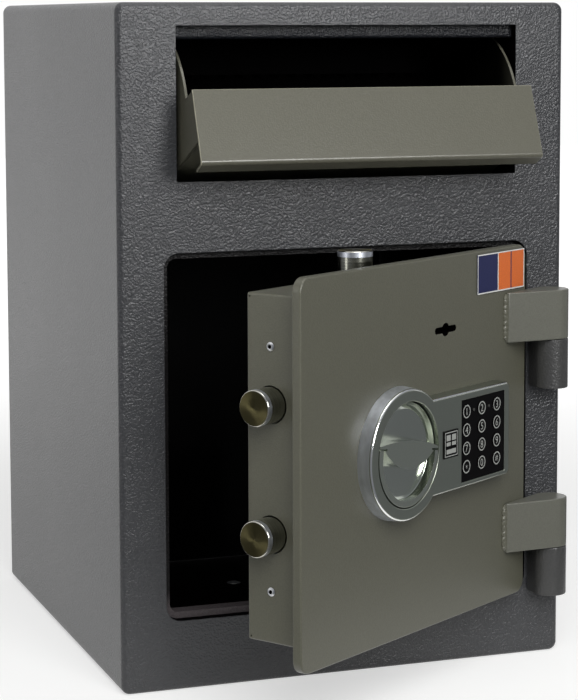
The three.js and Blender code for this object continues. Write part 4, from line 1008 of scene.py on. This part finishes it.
def addPrint(bm, other, height):
    # Adds another mesh at that height, in the second material
    mesh = takeMesh(other, "print")
    before = len(bm.verts)
    bm.from_mesh(mesh)
    bpy.data.meshes.remove(mesh)
    bm.verts.ensure_lookup_table()
    for vert in bm.verts[before:]:
        vert.co.z += height * mm
        paintFaces(vert.link_faces, 1)


def buildKeys(s):
    low, high = s.flangeHeights
    profile = [(0, low), (s.flange, low), (s.flange, high), (s.radius, high)]
    profile += [*easedEdge(s.radius, s.top, s.edge), (0, s.top)]
    inner, outer = s.band
    band = [(inner, 0), (outer, 0), (outer, s.print), (inner, s.print), (inner, 0)]
    for row, marks in enumerate(s.marks):
        for column, mark in enumerate(marks):
            bm = lathe(profile, s.steps)
            addPrint(bm, weldVerts(lathe(band, s.steps)), s.top)
            height = s.numberHeight * (s.signShare if mark in s.nodes else 1)
            addPrint(bm, textMesh(mark, height / s.letterShare, s.print), s.top)
            node = s.nodes.get(mark, "key_" + mark)
            space = lockSpace @ shift(s.first[0] + column * s.pitch[0], s.first[1] - row * s.pitch[1], 0)
            paints = ["keyPlastic", "keyPrint"]
            name = "keycap" + node[3:]
            finishPiece(name, bm, "pressed_" + node, paints, node, space=space)


buildKeys(Sizes(**keySizes))
print("keypad built")


# Labels: plain colour fields without words

labelSizes = {
    "doorLabel": {
        "node": "door_label", "corner": (73.85, 281.5), "depth": (-0.8, -0.3),
        "across": (0, 0.9, 27, 28.1, 44.6, 46, 62.7, 63.6), "up": (0, 0.9, 27.7, 28.6),
        "paints": ("labelBlue", "labelOrange", "labelWhite"),
    },
    "keypadLabel": {
        "node": "keypad_label", "corner": (14.4, 172.9), "depth": (-11.7, -11.3),
        "across": (0, 1, 1.7, 3, 8.2, 9.8, 15, 16.3, 17, 18),
        "up": (0, 1, 1.7, 3, 6.2, 7.6, 8.6, 11.2, 12.2, 16.4, 17.7, 18.4, 19.4),
        "paints": ("blackPanel", "keyPrint"),
    },
}


def doorField(i, j, lastAcross, lastUp):
    # A white border and a white line, a blue field left of it and two orange ones right of it
    if i in (0, lastAcross) or j in (0, lastUp) or i == 2:
        return 2
    return 1 if i in (3, 5) else 0


def keypadField(i, j, lastAcross, lastUp):
    # A pale frame inside a black border, a bar across its foot and two pairs of small fields
    if i in (0, lastAcross) or j in (0, lastUp):
        return 0
    rim = i in (1, lastAcross - 1) or j in (1, lastUp - 1)
    bar = j == 3 and 3 <= i <= 5
    return 1 if rim or bar or (j in (6, 8) and i in (3, 5)) else 0


def buildLabel(name, pick, s):
    bm = bmesh.new()
    front, rear = s.depth
    across, up = ([start + step for step in steps] for start, steps in zip(s.corner, (s.across, s.up)))
    grid = [addLoop(bm, [(x, front, z) for z in up]) for x in across]
    for i in range(len(across) - 1):
        for j in range(len(up) - 1):
            face = bm.faces.new((grid[i][j], grid[i + 1][j], grid[i + 1][j + 1], grid[i][j + 1]))
            face.material_index = pick(i, j, len(across) - 2, len(up) - 2)
    rim = [row[0] for row in grid] + grid[-1][1:] + [row[-1] for row in grid[-2::-1]] + grid[0][-2:0:-1]
    back = [bm.verts.new((v.co.x, rear * mm, v.co.z)) for v in rim]
    bridge(bm, rim, back)
    bm.faces.new(back)
    finishPiece(name, bm, "door", s.paints, s.node)


for name, pick in (("doorLabel", doorField), ("keypadLabel", keypadField)):
    buildLabel(name, pick, Sizes(**labelSizes[name]))
print("labels built")


# Materials of the pieces that stay as in the CAD model

plainMaterials = {
    # The rear plate's inside face is darkened as painted shade
    "rearShadeCoat": ["rear_plate"],
    # The door frame is lit at its foot and shaded above it by painted light and shade
    "frameLightShadeCoat": ["door_frame"],
    # Inner parts of the hopper and chute in the near-black coat, as painted shade
    "innerCoat": ["hopper_cheek_left", "hopper_cheek_right", "rear_baffle", "chute_floor"],
    "hopperPaint": ["hopper_floor"],
    "turnedSteel": ["hinge_pin_upper", "hinge_pin_lower", "solenoid_plunger"],
    "zincPlate": [
        "hopper_pivot_left", "hopper_pivot_right", "bolt_guide", "knob_spindle", "cam_disc", "bolt_carriage",
        "top_link", "bottom_link",
    ],
    "blackPanel": ["keypad_panel", "key_lock_case"],
    "lensPlastic": ["status_light_left", "status_light_right"],
    "boardResin": ["circuit_board"],
    "darkMoulding": ["solenoid_body", "battery_holder", "battery_cover"],
}
for finish, names in plainMaterials.items():
    for name in names:
        nodes[name].data.materials.clear()
        nodes[name].data.materials.append(finishes[finish])


# Floor, world, lights and camera

floorValues = {
    "colour": (0.6, 0.6, 0.59), "half": 6, "drop": 0.0002, "roughness": 0.9, "shine": 0.1,
    "lift": (0.55, 0.9), "liftReach": (0.4, 1.8), "liftUnder": (0.12, 0.17),
}
screenValues = {
    "radius": (0.4, 3.2), "angles": (-208, 50), "steps": 48, "height": 4.2, "foot": 0.001,
    "colour": (0.9, 0.93, 1), "glow": (0.2, 0.45), "rise": (0.2, 3.4),
}
ambientGlow = 0.28
# Name, place, target, size, power, rays that it serves
lamps = (
    ("key", (-0.42, -2.6, 2.05), (0, -0.18, 0.3), (2.4, 2), 80, "diffuse"),
    ("sheen", (0.44, -2, 0.91), (0, -0.18, 0.4), (0.55, 0.8), 25, "glossy"),
    ("top", (0.1, -0.7, 2.3), (0, -0.1, 0.3), (1.2, 0.9), 10, "glossy"),
    ("left", (-2.4, -0.35, 1), (0, -0.3, 0.25), (0.35, 1.4), 4.5, "glossy"),
    ("ring", (-2.31, -0.66, 0.4), (-0.04, -0.32, 0.21), (0.5, 0.8), 3.4, "glossy"),
    ("dish", (1.49, -0.07, 0.47), (0.01, -0.3, 0.18), (0.6, 0.46), 0.6, "glossy"),
)


def seenRays(tree):
    # 1 for the rays that show the background: seen directly, mirrored or through glass
    path = addNode(tree, "LightPath").outputs
    either = calculate(tree, "MAXIMUM", path["Is Camera Ray"], path["Is Glossy Ray"])
    return calculate(tree, "MAXIMUM", either, path["Is Transmission Ray"])


def stagePiece(name, bm, colour, glow, shine):
    # A stage surface of one colour, ready to glow
    material, tree, shader = startMaterial(name + "Surface")
    adjust(tree, shader, Base_Color=(*colour, 1), Emission_Color=(*glow, 1), Specular_IOR_Level=shine)
    piece = addObject(name, takeMesh(bm, name))
    piece.data.materials.append(material)
    return piece, tree, shader


def buildFloor(s):
    bm = bmesh.new()
    corners = ((-1, -1), (1, -1), (1, 1), (-1, 1))
    bm.faces.new([bm.verts.new((x * s.half, y * s.half, -s.drop)) for x, y in corners])
    _, tree, shader = stagePiece("floor", bm, s.colour, (1, 1, 1), s.shine)
    away = addNode(tree, "VectorMath", coordinate(tree), operation="LENGTH").outputs["Value"]
    lift = addRamp(tree, away, s.liftReach, s.lift)
    bare = calculate(tree, "MULTIPLY", lift, addRamp(tree, away, s.liftUnder))
    glow = calculate(tree, "MULTIPLY", bare, seenRays(tree))
    adjust(tree, shader, Roughness=s.roughness, Emission_Strength=glow)


def buildScreen(s):
    # A grey screen round the front and on the floor before it, which only reflections show
    bm = bmesh.new()
    near, far = s.radius
    rows = []
    for radius, height in ((near, s.foot), (far, s.foot), (far, s.height)):
        ring = arcPoints((0, 0), radius, *s.angles, s.steps)
        rows.append([bm.verts.new((x, y, height)) for x, y in ring])
    for low, high in zip(rows, rows[1:]):
        for i in range(s.steps):
            bm.faces.new((low[i], low[i + 1], high[i + 1], high[i]))
    screen, tree, shader = stagePiece("screen", bm, (0, 0, 0), s.colour, 0)
    adjust(tree, shader, Emission_Strength=addRamp(tree, along(tree, "Z"), s.rise, s.glow))
    assign(screen, visible_camera=False, visible_diffuse=False, visible_shadow=False)


def buildWorld():
    world = bpy.data.worlds.new("studio")
    bpy.context.scene.world = world
    world.use_nodes = True
    tree = world.node_tree
    glow = addRamp(tree, seenRays(tree), (0, 1), (ambientGlow, 1))
    adjust(tree, tree.nodes["Background"], Color=(1, 1, 1, 1), Strength=glow)


def buildLights():
    for name, place, target, size, power, part in lamps:
        lamp = bpy.data.lights.new(name + "Light", "AREA")
        assign(lamp, shape="RECTANGLE", size=size[0], size_y=size[1], energy=power)
        holder = addObject(name + "Light", lamp)
        aim = (Vector(target) - Vector(place)).to_track_quat("-Z", "Y").to_euler()
        assign(holder, location=place, rotation_euler=aim)
        assign(holder, visible_glossy=part == "glossy", visible_diffuse=part == "diffuse")


cameraValues = {
    "place": (-0.5718, -1.67669, 0.47692), "yaw": 19.9122, "pitch": 5.7439, "roll": -0.1191,
    "sensor": 36, "lens": 114.69, "shift": (-0.02771, -0.15),
}


def buildCamera(s):
    lens = bpy.data.cameras.new("camera")
    assign(lens, sensor_width=s.sensor, lens=s.lens, shift_x=s.shift[0], shift_y=s.shift[1])
    holder = addObject("camera", lens)
    aim = turn(-s.yaw, "Z") @ turn(90 - s.pitch, "X") @ turn(s.roll, "Z")
    holder.matrix_world = Matrix.Translation(s.place) @ aim
    bpy.context.scene.camera = holder


buildFloor(Sizes(**floorValues))
buildScreen(Sizes(**screenValues))
buildWorld()
buildLights()
buildCamera(Sizes(**cameraValues))
bpy.context.scene.view_settings.view_transform = "Standard"
print("stage built")
